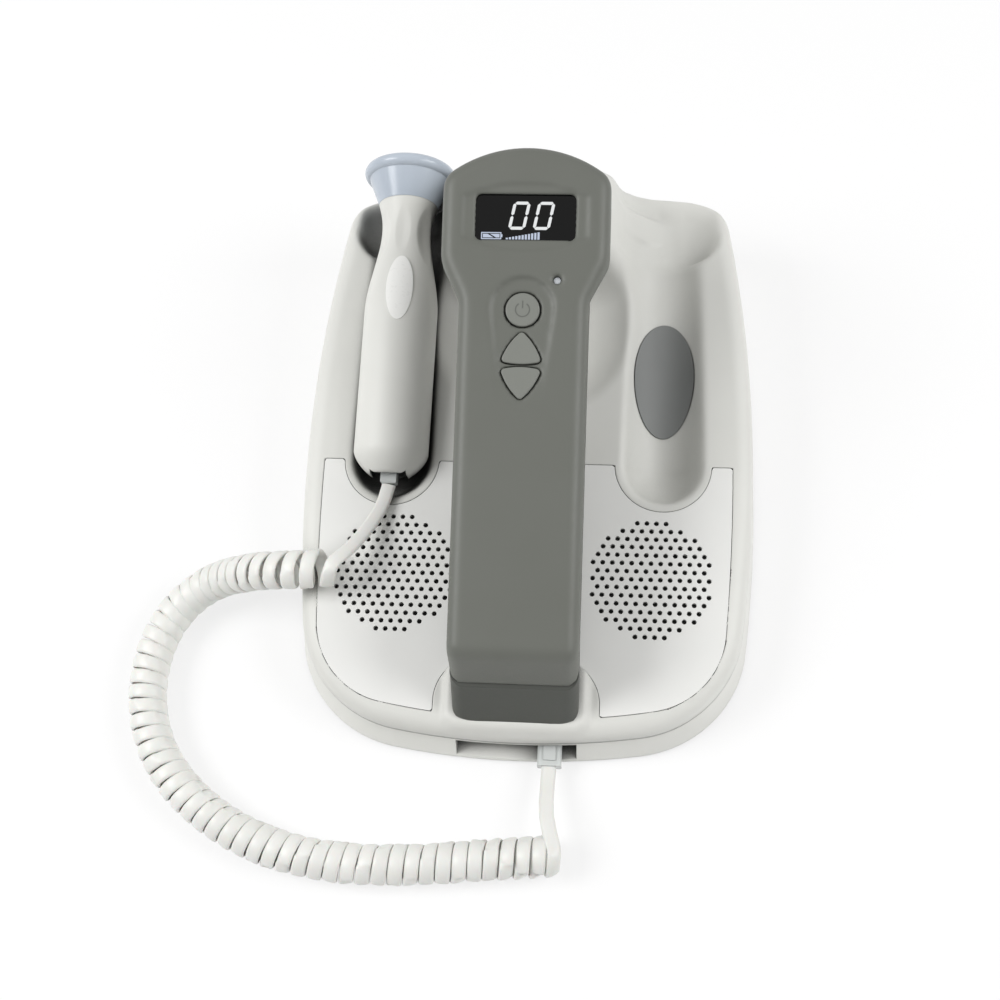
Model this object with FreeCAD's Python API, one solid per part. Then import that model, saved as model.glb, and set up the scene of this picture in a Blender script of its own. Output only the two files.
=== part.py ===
import FreeCAD, Part
import math
import os

# Table-top fetal doppler monitor: a wedge-shaped base with two probe cradles and two
# loudspeakers, a console that bridges it as a carrying handle, and one probe on a curly cord.
# Millimetres.  Most pieces are drawn in the deck frame: X right, Y to the rear, Z square to
# the sloping deck, with its origin on the deck midway between the loudspeakers.

V = FreeCAD.Vector

# ---- deck and base -------------------------------------------------------------------------
deck_slope = 7.0            # degrees between the deck and the table
deck_height = 37.0          # of the deck origin above the table
rim_half_width = 108.9
widest_y = 60.0
side_bow_radius = 690.0
front_y = -76.5
front_bow_radius = 356.0
front_corner_radius = 56.0
rear_y = 207.5
rear_bow_radius = 900.0
rear_corner_radius = 25.0
rim_depth = 13.0            # height of the top housing's edge
rim_draft = 1.2
rim_round = 8.0
deck_wall = 2.6
deck_skin = 1.0             # of the deck above the tubs' cut-off level
parting_groove = 0.8
skirt_flare = 3.0           # how far the bottom housing spreads below the rim
foot_height = 2.5
foot_radius = 7.0
foot_side_inset = 25.4
foot_front_inset = 24.0
foot_front_step = 8.0       # front feet stand this much nearer the middle
foot_rear_inset = 28.0
base_wall = 2.6
fit_gap = 0.3               # between pieces that drop into one another
screw_front_x = 80.0
screw_front_y = -46.0
screw_rear_x = 95.0
screw_rear_y = 112.0
screw_radius = 1.5
screw_head_radius = 2.8
screw_head_height = 1.8
screw_neck = 5.0            # of the bottom housing's post above a screw's head
screw_grip = 7.0            # of the shank in the top housing's boss
boss_radius = 4.2
foot_recess = 1.0
cover_half_width = 49.0
cover_front_y = 104.0
cover_rear_y = 164.0
cell_count = 6
cell_radius = 7.2
cell_length = 50.0
board_half_width = 52.0
board_front_y = 24.0
board_rear_y = 96.0
board_z = 9.0
stand_radius = 3.2
board_screw_grip = 3.6
inlet_x = -58.0
inlet_z = 20.0
inlet_radius = 5.2
inlet_length = 20.0
inlet_barrel = 8.0          # of the round part that stands through the wall
inlet_bore_radius = 2.8
inlet_bore_depth = 13.0
inlet_pin_radius = 0.9
inlet_body_half = 5.5
inlet_stand = 1.2           # of the inlet's face behind the rim's rear edge

# ---- cradles -------------------------------------------------------------------------------
cradle_x = 65.2
cradle_front_y = 56.0       # where the round front end of the trough begins
cradle_end_y = 167.0        # where the trough drops into the head pocket
cradle_radius = 18.9
cradle_tilt = 3.7           # degrees, rising to the rear
cradle_axis_z = 3.6         # height of the trough's axis at its front end
pocket_reach = 28.8         # of the head pocket's outer wall from the cradle's middle
pocket_depth = 11.2
pocket_round = 20.0         # between the outer wall and the floor
pocket_front_corner = 9.0
pocket_rear_corner = 15.0
pocket_rear_wall = 5.5      # between the pocket and the rear of the base
notch_lead = 6.0            # of the rear dip in front of the pocket's rear wall
pocket_low = 6.0            # of the floor's innermost line outside the cradle's middle
pocket_bank_x = 44.5        # where the pocket's inner bank meets the column's flank
pocket_bank_z = 8.0
pad_y = 104.0
pad_half_length = 29.4
pad_half_width = 14.4
pad_recess = 1.0            # of the inlay into the trough's floor
pad_proud = 0.6

# ---- hand bowl, rear column and foot seat ----------------------------------------------------
bowl_y = 128.0
bowl_radius = 48.5
bowl_depth = 15.0
# height above the deck, half width, front and rear of the column under the console's head
column_sections = [
    (-8.0, 64.0, 146.0, 205.5),
    (0.0, 53.0, 150.0, 205.5),
    (8.0, 45.5, 153.0, 205.0),
    (21.0, 38.0, 156.0, 203.0),
    (40.0, 32.0, 154.0, 192.0),
    (64.0, 30.0, 147.0, 173.0),
]
column_corner = 7.0
column_wall = 4.0
seat_half_width = 33.0
seat_front_inset = 3.5
seat_rear_y = -38.0
seat_lip = 2.4

# ---- loudspeaker panels ----------------------------------------------------------------------
panel_side_inset = 10.6     # of the panel's seam inside the rim
panel_front_inset = 9.2
panel_widest_y = 55.0
panel_side_bow = 1092.8
panel_front_bow = 348.8
panel_front_corner = 39.8
panel_top_y = 56.0
panel_thickness = 2.6
panel_inner_x = 20.0
panel_arc_radius = 22.8
panel_seat_round = 21.0
panel_seat_x = 17.0
panel_seat_y = -60.0
speaker_offset = 1.05       # of the loudspeaker outwards from the middle of its panel
speaker_x = (panel_inner_x + rim_half_width - panel_side_inset) / 2 + speaker_offset
grille_pitch = 4.5
grille_hole_radius = 1.1
grille_hole_sides = 6
grille_rows = [13, 12, 13, 12, 11, 10, 7, 4]   # holes per row, from the middle row outwards
speaker_radius = 33.0
speaker_depth = 19.0
gasket_width = 2.5
speaker_window_radius = speaker_radius - gasket_width
magnet_radius = 16.0
gasket_thickness = 1.5
ledge_width = 2.0           # of the shelf under a panel's edge
ledge_thickness = 2.2

# ---- console -----------------------------------------------------------------------------------
console_height = 55.0       # of the console's top plane above the deck origin
console_slope = 12.4        # degrees between the console's top and the deck
console_thickness = 34.0
console_seam = 22.0         # below the top plane
console_wall = 2.8
console_round = 6.0
console_under_round = 7.0
console_half_width = 28.8
console_front_y = -70.5
console_nose_y = -47.5
console_toe_y = -56.5
console_toe_z = 20.0
console_foot_rear_y = -42.0
console_arch_y = -33.0
head_half_width = 37.5
head_taper_front_y = 106.0
head_taper_rear_y = 124.0
head_rear_y = 174.5
head_bow_radius = 58.5
head_corner_radius = 10.0
head_taper_rear_round = 16.0
head_taper_front_round = 14.0
console_foot_round = 8.0
console_toe_round = 14.0
console_nose_round = 9.0
console_arch_round = 14.0
undercut_depth = 7.0        # below the console's top where the head's taper starts to lean in
undercut_lean = 20.0        # degrees

# positions along the console's own top plane
window_from_rear = 34.07
window_y = head_rear_y / math.cos(math.radians(console_slope)) - window_from_rear
window_width = 43.6
window_length = 20.4
window_corner = 1.6
brow_width = 56.0
brow_length = 31.0
brow_depth = 1.0
brow_bow = 6.0
lens_thickness = 1.5
button_well_depth = 1.5
button_well_y = 103.5
button_well_radius = 14.2
button_well_end_y = 62.0
button_well_end_half_width = 9.6
power_y = 103.0
power_radius = 7.5
button_gap = 0.35
button_height = 4.6
button_proud = 0.9
button_flange = 1.3
button_flange_thickness = 1.0
up_y = 85.5
down_y = 70.6
arrow_half_width = 8.9
arrow_length = 15.6
arrow_bulge = 2.2
arrow_corner = 1.6
lamp_x = 14.8
lamp_below_window = 28.1
lamp_y = window_y - lamp_below_window
lamp_radius = 1.6
board_thickness = 1.6
dome_height = 0.9
button_wall = 1.4           # of the console under the button well
console_boss_radius = 3.6
console_post = 6.0          # of the base's post between the seam and a screw's head
console_screw_grip = 8.0
console_screw_front_x = 20.5
console_screw_front = -22.0
console_screw_rear_x = 30.0
console_screw_rear = 132.0
board_top = -9.6            # face of the console's circuit board
board_width = 46.0
board_front = 56.0
board_rear = 160.0
switch_height = 0.9
dome_radius = 3.0

# ---- front jack recess --------------------------------------------------------------------------
recess_half_width = 28.0
recess_back_y = -65.0
recess_top_z = 13.4
recess_sill = 1.6
jack_z = 8.2                # middle of the plug above the table
jack_x = 15.7
jack_width = 16.0
jack_under = 4.4            # of the jack's body below and above the middle of its plug
jack_over = 6.4
jack_floor = 1.2            # of the bottom housing left under the jack
jack_length = 18.0
plug_height = 6.6
plug_latch = 1.4
plug_length = 21.0
plug_engaged = 12.0
plug_contact_pitch = 1.02
contact_width = 0.36
plug_gap = 0.25             # round a plug in its jack
base_plug_width = 11.7
base_plug_latch_width = 6.4
base_plug_contacts = 8
handset_plug_width = 7.7
handset_plug_latch_width = 3.2
handset_plug_contacts = 4

# ---- probe -----------------------------------------------------------------------------------------
probe_radius = 18.0
probe_start_y = 46.5        # flat end, measured along the cradle axis
probe_shoulder = 11.0
probe_end_radius = 9.6
probe_shoulder_bow = 1.2    # of the shoulder beyond a straight cone
probe_end_lean = 12.0       # degrees that the flat end leans back towards its top
probe_mouth_half_width = 8.6
probe_mouth_over = 7.0      # of the jack's mouth above and below the probe's axis
probe_mouth_under = 6.0
probe_mouth_depth = 5.0
probe_straight_end = 82.0   # lengths along the probe from its flat end
probe_neck_at = 125.5
probe_neck_radius = 12.2
probe_collar_at = 139.5
probe_collar_radius = 14.7
probe_skew = 0.35           # degrees that the probe lies askew in its cradle
probe_side_play = 0.2       # of its flat end towards the rim
head_disc_at = 155.6        # where the disc is widest
head_rim_round = 2.6
head_dome = 1.6
head_disc_radius = 22.9
head_disc_end = 160.9
head_clearance = 1.4        # between the head and the dip in the rear rim
probe_wall = 2.2
cap_spigot = 4.5
crystal_radius = 15.0
crystal_thickness = 3.0
label_at = 90.3             # along the probe
label_half_length = 17.0
label_half_width = 6.5
label_turn = 3.5            # degrees about the probe's axis
label_thickness = 0.25

# ---- cord -------------------------------------------------------------------------------------------
tail_diameter = 4.4         # plain tube that stands for the flat cord outside its coil
coil_diameter = 18.6
cord_pieces = ["base_plug", "probe_plug"]
run_share = 0.45            # of a shorter run that a bend takes up
probe_tail = [
    (-65.44, 41.5, 44.8), (-65.5, 33.0, 43.5), (-68.8, 22.0, 45.0), (-78.5, 5.5, 52.0),
    (-86.8, -8.6, 55.0)]
coil = [
    (-86.0, -2.8, 47.7), (-104.5, -4.8, 48.2), (-124.0, -3.0, 40.5), (-143.0, 0.0, 24.5),
    (-157.5, -2.5, 14.6), (-169.5, -12.0, 10.3), (-177.0, -27.5, 9.5), (-179.5, -47.0, 9.5),
    (-176.0, -70.0, 9.5), (-164.0, -92.0, 9.5), (-143.0, -111.0, 9.5), (-115.0, -125.0, 9.5),
    (-82.0, -131.5, 9.5), (-47.0, -131.0, 9.5), (-12.0, -127.0, 9.5), (20.0, -123.2, 9.5)]
base_tail = [
    (15.7, -71.2, 8.2), (15.7, -80.2, 8.2), (15.3, -93.5, 10.5), (15.1, -107.0, 15.2),
    (15.7, -119.8, 17.6)]

os.makedirs("parts", exist_ok=True)

deck = FreeCAD.Placement(V(0, 0, deck_height), FreeCAD.Rotation(V(1, 0, 0), deck_slope))
console = deck.multiply(
    FreeCAD.Placement(V(0, 0, console_height), FreeCAD.Rotation(V(1, 0, 0), console_slope)))
console_in_deck = deck.inverse().multiply(console)


# ---- drawing helpers ----------------------------------------------------------------------------------
def moved(shape, placement):
    copy = shape.copy()
    copy.Placement = placement.multiply(copy.Placement)
    return copy


def mirrored(shape):
    return shape.mirror(V(0, 0, 0), V(1, 0, 0))


def box(x0, x1, y0, y1, z0, z1):
    return Part.makeBox(x1 - x0, y1 - y0, z1 - z0, V(x0, y0, z0))


def rod(radius, height, base, direction=V(0, 0, 1)):
    return Part.makeCylinder(radius, height, base, direction)


def fused(shapes):
    return shapes[0].multiFuse(shapes[1:]).removeSplitter()


def rounded_wire(corners, closed=True):
    """Straight runs through (x, y, radius) corners, joined by tangent arcs, at z = 0."""
    count = len(corners)
    points = [V(x, y, 0) for x, y, r in corners]
    edges = []
    ends = []
    for i, (x, y, r) in enumerate(corners):
        here = points[i]
        if r == 0 or (not closed and i in (0, count - 1)):
            ends.append((here, here, None))
            continue
        to_last = (points[i - 1] - here).normalize()
        to_next = (points[(i + 1) % count] - here).normalize()
        half_angle = to_last.getAngle(to_next) / 2
        reach = r / math.tan(half_angle)
        bisector = (to_last + to_next).normalize()
        middle = here + bisector * (r / math.sin(half_angle) - r)
        ends.append((here + to_last * reach, here + to_next * reach, middle))
    for i in range(count):
        start, stop, middle = ends[i]
        if middle is not None:
            edges.append(Part.Arc(start, middle, stop).toShape())
        if closed or i < count - 1:
            after = ends[(i + 1) % count][0]
            if (after - stop).Length > 1e-6:
                edges.append(Part.makeLine(stop, after))
    return Part.Wire(edges)


def prism(wire, z0, z1):
    face = Part.Face(wire)
    face.translate(V(0, 0, z0))
    return face.extrude(V(0, 0, z1 - z0))


def side_prism(wire, x0, x1):
    """Extrude a wire drawn as (y, z) along X."""
    face = Part.Face(wire)
    turn = FreeCAD.Placement(V(x0, 0, 0), FreeCAD.Rotation(V(1, 1, 1), 120))
    face.Placement = turn
    return face.extrude(V(x1 - x0, 0, 0))


def revolved(outline_points, axis_base, axis_direction=V(0, 0, 1)):
    """Solid of revolution from (radius, height) corners about a vertical axis, then aimed."""
    corners = [V(r, 0, h) for r, h in outline_points]
    face = Part.Face(Part.makePolygon(corners + corners[:1]))
    solid = face.revolve(V(0, 0, 0), V(0, 0, 1), 360)
    solid.Placement = FreeCAD.Placement(axis_base, FreeCAD.Rotation(V(0, 0, 1), axis_direction))
    return solid


def circle_meeting(centre_a, radius_a, centre_b, radius_b):
    """The meeting point of two circles that lies further to the right."""
    across = centre_b - centre_a
    gap = across.Length
    along = (radius_a ** 2 - radius_b ** 2 + gap ** 2) / (2 * gap)
    aside = math.sqrt(radius_a ** 2 - along ** 2)
    foot = centre_a + across * (along / gap)
    square = V(-across.y, across.x, 0) * (aside / gap)
    return max(foot + square, foot - square, key=lambda p: p.x)


def arc_about(centre, radius, start, stop):
    middle = ((start + stop) * 0.5 - centre).normalize()
    return Part.Arc(start, centre + middle * radius, stop).toShape()


def arc_outline(front, side, corner, inset, z):
    """A plan of eight tangent arcs; front is (y, bow), side is (half width, widest y, bow)."""
    front_edge, front_bow = front
    half_width, widest, side_bow = side
    front_centre = V(0, front_edge + front_bow, 0)
    rear_centre = V(0, rear_y - rear_bow_radius, 0)
    side_centre = V(half_width - side_bow, widest, 0)
    front_corner = circle_meeting(front_centre, front_bow - corner, side_centre,
                                  side_bow - corner)
    rear_corner = circle_meeting(rear_centre, rear_bow_radius - rear_corner_radius,
                                 side_centre, side_bow - rear_corner_radius)

    def tangent(centre, radius, towards):
        return centre + (towards - centre).normalize() * (radius - inset)

    def across(p):
        return V(-p.x, p.y, p.z)

    front_end = tangent(front_centre, front_bow, front_corner)
    side_start = tangent(side_centre, side_bow, front_corner)
    side_end = tangent(side_centre, side_bow, rear_corner)
    rear_start = tangent(rear_centre, rear_bow_radius, rear_corner)
    edges = [
        arc_about(front_centre, front_bow - inset, across(front_end), front_end),
        arc_about(front_corner, corner - inset, front_end, side_start),
        arc_about(side_centre, side_bow - inset, side_start, side_end),
        arc_about(rear_corner, rear_corner_radius - inset, side_end, rear_start),
        arc_about(rear_centre, rear_bow_radius - inset, rear_start, across(rear_start)),
        arc_about(across(rear_corner), rear_corner_radius - inset, across(rear_start),
                  across(side_end)),
        arc_about(across(side_centre), side_bow - inset, across(side_end),
                  across(side_start)),
        arc_about(across(front_corner), corner - inset, across(side_start),
                  across(front_end)),
    ]
    wire = Part.Wire(edges)
    wire.translate(V(0, 0, z))
    return wire


def base_outline(inset, z):
    """The base's plan, brought inwards by inset."""
    return arc_outline((front_y, front_bow_radius),
                       (rim_half_width, widest_y, side_bow_radius),
                       front_corner_radius, inset, z)


def panel_field(clearance):
    """The plan that the outer seams of both loudspeaker panels follow."""
    return arc_outline((front_y + panel_front_inset, panel_front_bow),
                       (rim_half_width - panel_side_inset, panel_widest_y, panel_side_bow),
                       panel_front_corner, clearance, 0)


def cradle_axis(y):
    """A point on the right cradle's axis."""
    rise = (y - cradle_front_y) * math.tan(math.radians(cradle_tilt))
    return V(cradle_x, y, cradle_axis_z + rise)


cradle_direction = (cradle_axis(100) - cradle_axis(0)).normalize()


def pocket_cut(grow):
    """The head pocket, open upwards: steep outer wall, level floor, long bank to the column."""
    outer = cradle_x + pocket_reach + grow
    inner = pocket_bank_x - grow
    floor = -pocket_depth - grow
    front = cradle_end_y - grow
    rear = rear_y - pocket_rear_wall + grow
    low = V(cradle_x + pocket_low, floor, 0)
    high = V(inner, pocket_bank_z, 0)
    bank = Part.BSplineCurve()
    bank.interpolate([low, high], Tangents=[V(-1, 0, 0), V(-1, 2, 0)],
                     TangentFlags=[True, True])
    sides = rounded_wire([(high.x, high.y, 0), (high.x, console_height, 0),
                          (outer, console_height, 0), (outer, floor, pocket_round),
                          (low.x, low.y, 0)], closed=False)
    section = Part.Face(Part.Wire(Part.__sortEdges__([bank.toShape()] + sides.Edges)))
    section.Placement = FreeCAD.Placement(V(0, rear, 0), FreeCAD.Rotation(V(1, 0, 0), 90))
    trench = section.extrude(V(0, front - rear, 0))
    plan = rounded_wire([(0, front, 0), (outer, front, pocket_front_corner),
                         (outer, rear, pocket_rear_corner), (0, rear, 0)])
    return trench.common(prism(plan, floor - 1, console_height))


def cradle_cut(grow):
    """The trough with its round front end, and the head pocket; grow thickens it."""
    front = cradle_axis(cradle_front_y)
    length = (cradle_axis(cradle_end_y) - front).Length
    trough = rod(cradle_radius + grow, length + grow, front, cradle_direction)
    front_end = Part.makeSphere(cradle_radius + grow, front)
    above = box(-cradle_radius - grow, cradle_radius + grow, 0, length, 0, console_height)
    above.Placement = FreeCAD.Placement(front, FreeCAD.Rotation(V(1, 0, 0), cradle_tilt))
    return trough.multiFuse([front_end, pocket_cut(grow), above])


def rim_notch(grow):
    """The dip in the rear rim that clears the probe's head."""
    start = cradle_axis(rear_y - pocket_rear_wall - notch_lead)
    radius = head_disc_radius + head_clearance + grow
    return rod(radius, rear_y, start, cradle_direction)


def pad_oval(grow):
    """The inlay's outline, cut straight down through the trough."""
    long_end = V(cradle_x, pad_y + pad_half_length + grow, 0)
    short_end = V(cradle_x + pad_half_width + grow, pad_y, 0)
    oval = Part.Ellipse(long_end, short_end, V(cradle_x, pad_y, 0))
    return Part.Face(Part.Wire(oval.toShape())).extrude(V(0, 0, -40))


def pad_pocket():
    bed = rod(cradle_radius + pad_recess, 260, cradle_axis(0), cradle_direction)
    return bed.common(pad_oval(fit_gap / 2))


def panel_outline(clearance):
    """The right loudspeaker panel's seam, in the deck plane."""
    field = Part.Face(panel_field(clearance))
    window = Part.Face(Part.makePolygon([
        V(panel_inner_x + clearance, front_y, 0), V(rim_half_width, front_y, 0),
        V(rim_half_width, panel_top_y - clearance, 0),
        V(panel_inner_x + clearance, panel_top_y - clearance, 0),
        V(panel_inner_x + clearance, front_y, 0)]))
    cradle_disc = Part.Face(Part.Wire(Part.makeCircle(
        panel_arc_radius + clearance, V(cradle_x, cradle_front_y, 0))))
    seat = rounded_wire([
        (0, front_y - 5, 0), (panel_seat_x + panel_seat_round + clearance, front_y - 5, 0),
        (panel_seat_x + panel_seat_round + clearance,
         panel_seat_y + panel_seat_round + clearance, panel_seat_round),
        (0, panel_seat_y + panel_seat_round + clearance, 0)])
    return field.common(window).cut(cradle_disc).cut(Part.Face(seat)).removeSplitter()


def grille_centres():
    """Hole centres of the hexagonal field, about the loudspeaker's axis."""
    centres = []
    for row in range(1 - len(grille_rows), len(grille_rows)):
        count = grille_rows[abs(row)]
        y = row * grille_pitch * math.sqrt(3) / 2
        for column in range(count):
            centres.append(((column - (count - 1) / 2) * grille_pitch, y))
    return centres


def speaker_panel():
    plate = panel_outline(fit_gap).extrude(V(0, 0, -panel_thickness))
    drills = []
    for x, y in grille_centres():
        corners = []
        for side in range(grille_hole_sides + 1):
            turn = 2 * math.pi * (side + 0.5) / grille_hole_sides
            corners.append(V(speaker_x + x + grille_hole_radius * math.cos(turn),
                             y + grille_hole_radius * math.sin(turn), -panel_thickness - 1))
        drills.append(Part.Face(Part.makePolygon(corners)).extrude(V(0, 0, panel_thickness + 2)))
    return plate.cut(Part.makeCompound(drills))


def bowl_cut(grow):
    """The round hand bowl, cut from a large ball."""
    ball = (bowl_radius ** 2 + bowl_depth ** 2) / (2 * bowl_depth)
    cup = Part.makeSphere(ball + grow, V(0, bowl_y, ball - bowl_depth))
    return cup.common(rod(ball, ball, V(0, bowl_y, -bowl_depth - grow - 1)))


def column_loft(inset):
    wires = []
    for z, half, front, rear in column_sections:
        wire = rounded_wire([
            (inset - half, front + inset, column_corner), (half - inset, front + inset, column_corner),
            (half - inset, rear - inset, column_corner), (inset - half, rear - inset, column_corner)])
        wire.translate(V(0, 0, z))
        wires.append(wire)
    return Part.makeLoft(wires, True, False)


def console_block(depth_top, depth_bottom):
    """A slab parallel to the console's top, wide enough to cut anything in the console."""
    slab = box(-120, 120, -200, 320, -depth_bottom, -depth_top)
    return moved(slab, console_in_deck)


def console_plan(inset):
    """The console seen square to the deck: foot, waist, and the wider display head."""
    waist = console_half_width - inset
    side = head_half_width - inset
    front = console_front_y + inset
    bow_centre = V(0, head_rear_y - head_bow_radius, 0)
    corner_x = head_half_width - head_corner_radius
    reach = head_bow_radius - head_corner_radius
    corner_centre = V(corner_x, bow_centre.y + math.sqrt(reach ** 2 - corner_x ** 2), 0)
    corner_end = bow_centre + (corner_centre - bow_centre).normalize() * (head_bow_radius - inset)
    corner_start = corner_centre + V(head_corner_radius - inset, 0, 0)
    run = [(corner_start.x, corner_start.y, 0), (side, head_taper_rear_y, head_taper_rear_round),
           (waist, head_taper_front_y, head_taper_front_round), (waist, front, console_foot_round)]
    other = [(-x, y, r) for x, y, r in reversed(run)]
    sides = rounded_wire(run + other, closed=False)

    def across(p):
        return V(-p.x, p.y, p.z)

    edges = sides.Edges + [
        arc_about(corner_centre, head_corner_radius - inset, corner_start, corner_end),
        arc_about(bow_centre, head_bow_radius - inset, corner_end, across(corner_end)),
        arc_about(across(corner_centre), head_corner_radius - inset, across(corner_end),
                  across(corner_start))]
    return Part.Wire(Part.__sortEdges__(edges))


def console_top_z(y):
    return console_height + y * math.tan(math.radians(console_slope))


def console_side(inset):
    """The console seen from its side, as (y, z): toe, nose, top plane, underside and foot."""
    rise = math.tan(math.radians(console_slope))
    step = 1 / math.cos(math.radians(console_slope))
    top = (console_height - inset * step)
    under = console_height - (console_thickness - inset) * step
    back = head_rear_y + 20
    return rounded_wire([
        (console_front_y + inset, 0, 0),
        (console_toe_y + inset, console_toe_z, console_toe_round),
        (console_nose_y + inset, top + (console_nose_y + inset) * rise, console_nose_round),
        (back, top + back * rise, 0),
        (back, under + back * rise, 0),
        (console_arch_y - inset, under + (console_arch_y - inset) * rise, console_arch_round),
        (console_foot_rear_y - inset, 0, 0)])


def console_solid(inset):
    plan = prism(console_plan(inset), -1, console_top_z(head_rear_y) + 10)
    side = side_prism(console_side(inset), -head_half_width - 5, head_half_width + 5)
    return plan.common(side)


def arrow_wire(direction, grow):
    """A button face with bowed sides: an arrowhead pointing up (1) or down (-1) the console."""
    half = arrow_half_width + grow
    base = -direction * (arrow_length / 2 - arrow_bulge + grow)
    tip = direction * (arrow_length / 2 + grow)
    corners = [V(-half, base, 0), V(half, base, 0), V(0, tip, 0)]
    edges = []
    for start, stop in zip(corners, corners[1:] + corners[:1]):
        middle = (start + stop) * 0.5
        outwards = (middle - (corners[0] + corners[1] + corners[2]) * (1 / 3)).normalize()
        bow = arrow_bulge * 0.55
        edges.append(Part.Arc(start, middle + outwards * bow, stop).toShape())
    return Part.Wire(edges)


def arrow_prism(direction, grow, y, z0, z1):
    solid = prism(arrow_wire(direction, grow), z0, z1)
    solid.translate(V(0, y, 0))
    upright = [e for e in solid.Edges
               if abs(e.Vertexes[0].Z - e.Vertexes[-1].Z) > (z1 - z0) * 0.9]
    return solid.makeFillet(arrow_corner, upright)


# ---- base --------------------------------------------------------------------------------------
def right_and_left(shape):
    return [shape, mirrored(shape)]


def screw_places():
    """Where the four housing screws stand, in the deck plane."""
    front = [(-screw_front_x, screw_front_y), (screw_front_x, screw_front_y)]
    rear = [(-screw_rear_x, screw_rear_y), (screw_rear_x, screw_rear_y)]
    return front + rear


def under_deck(top):
    """The room inside the base up to a level below the deck, rounded like the rim."""
    room = prism(base_outline(deck_wall + rim_draft, 0), -deck_height, top)
    return room.makeFillet(rim_round + top, [e for e in room.Edges if e.BoundBox.ZMin > top - 0.01])


def seat_plan(grow):
    """The raised seat round the console's foot."""
    half = seat_half_width + grow
    front = front_y + seat_front_inset
    return rounded_wire([(-half, front, 3), (half, front, 3),
                         (half, seat_rear_y + grow, 12), (-half, seat_rear_y + grow, 12)])


def top_housing():
    block = Part.makeLoft([base_outline(0, -rim_depth), base_outline(rim_draft, 0)], True, True)
    block = block.makeFillet(rim_round, [e for e in block.Edges if e.BoundBox.ZMin > -0.01])
    inside = under_deck(-deck_skin)
    room = under_deck(-deck_wall)
    seat = prism(seat_plan(0), -4, seat_lip)
    seat_rim = [e for e in seat.Edges if e.BoundBox.ZMin > seat_lip - 0.1]
    seat = seat.makeFillet(seat_lip - 0.6, seat_rim)
    ledge = panel_outline(-ledge_width).extrude(V(0, 0, -panel_thickness - ledge_thickness))
    tubs = [cradle_tub().common(inside), bowl_cut(deck_wall).common(inside)]
    bosses = [rod(boss_radius, rim_depth - 1, V(x, y, -rim_depth)) for x, y in screw_places()]
    shell = block.cut(room)
    shell = shell.multiFuse([seat, tubs[0], mirrored(tubs[0]), tubs[1], ledge, mirrored(ledge)]
                            + [b.common(inside) for b in bosses])
    shell = shell.cut(bowl_cut(0))
    shell = shell.fuse(column_loft(0)).cut(console_block(-40, console_thickness))
    hollow = column_loft(column_wall).common(box(-60, 60, 100, 240, -60, 50))
    hollow = hollow.cut(console_block(-60, console_thickness + column_wall))
    hollow = hollow.cut(bowl_cut(column_wall)).cut(cradle_tub()).cut(mirrored(cradle_tub()))
    foot = console_solid(-fit_gap).common(box(-60, 60, front_y, console_arch_y, 0, seat_lip + 1))
    cuts = [cradle_cut(0), pad_pocket(), rim_notch(0),
            panel_outline(0).extrude(V(0, 0, seat_lip + 1)),
            panel_outline(0).extrude(V(0, 0, -panel_thickness)),
            rod(speaker_window_radius, 20, V(speaker_x, 0, -15))]
    everything = [hollow, foot]
    for cut in cuts:
        everything += right_and_left(cut)
    everything += [rod(screw_radius, screw_grip, V(x, y, -rim_depth)) for x, y in screw_places()]
    return shell.cut(everything)


def bottom_skin(inset, top_z, floor_z):
    upper = moved(base_outline(inset, top_z), deck)
    lower = base_outline(inset - skirt_flare, floor_z)
    return Part.makeLoft([upper, lower], True, True)


def recess_box(grow, z0, z1):
    """The notch in the front skirt where the jack sits, in the table frame."""
    half = recess_half_width + grow
    return box(-half, half, front_y - 30, recess_back_y + grow, z0, z1)


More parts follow.
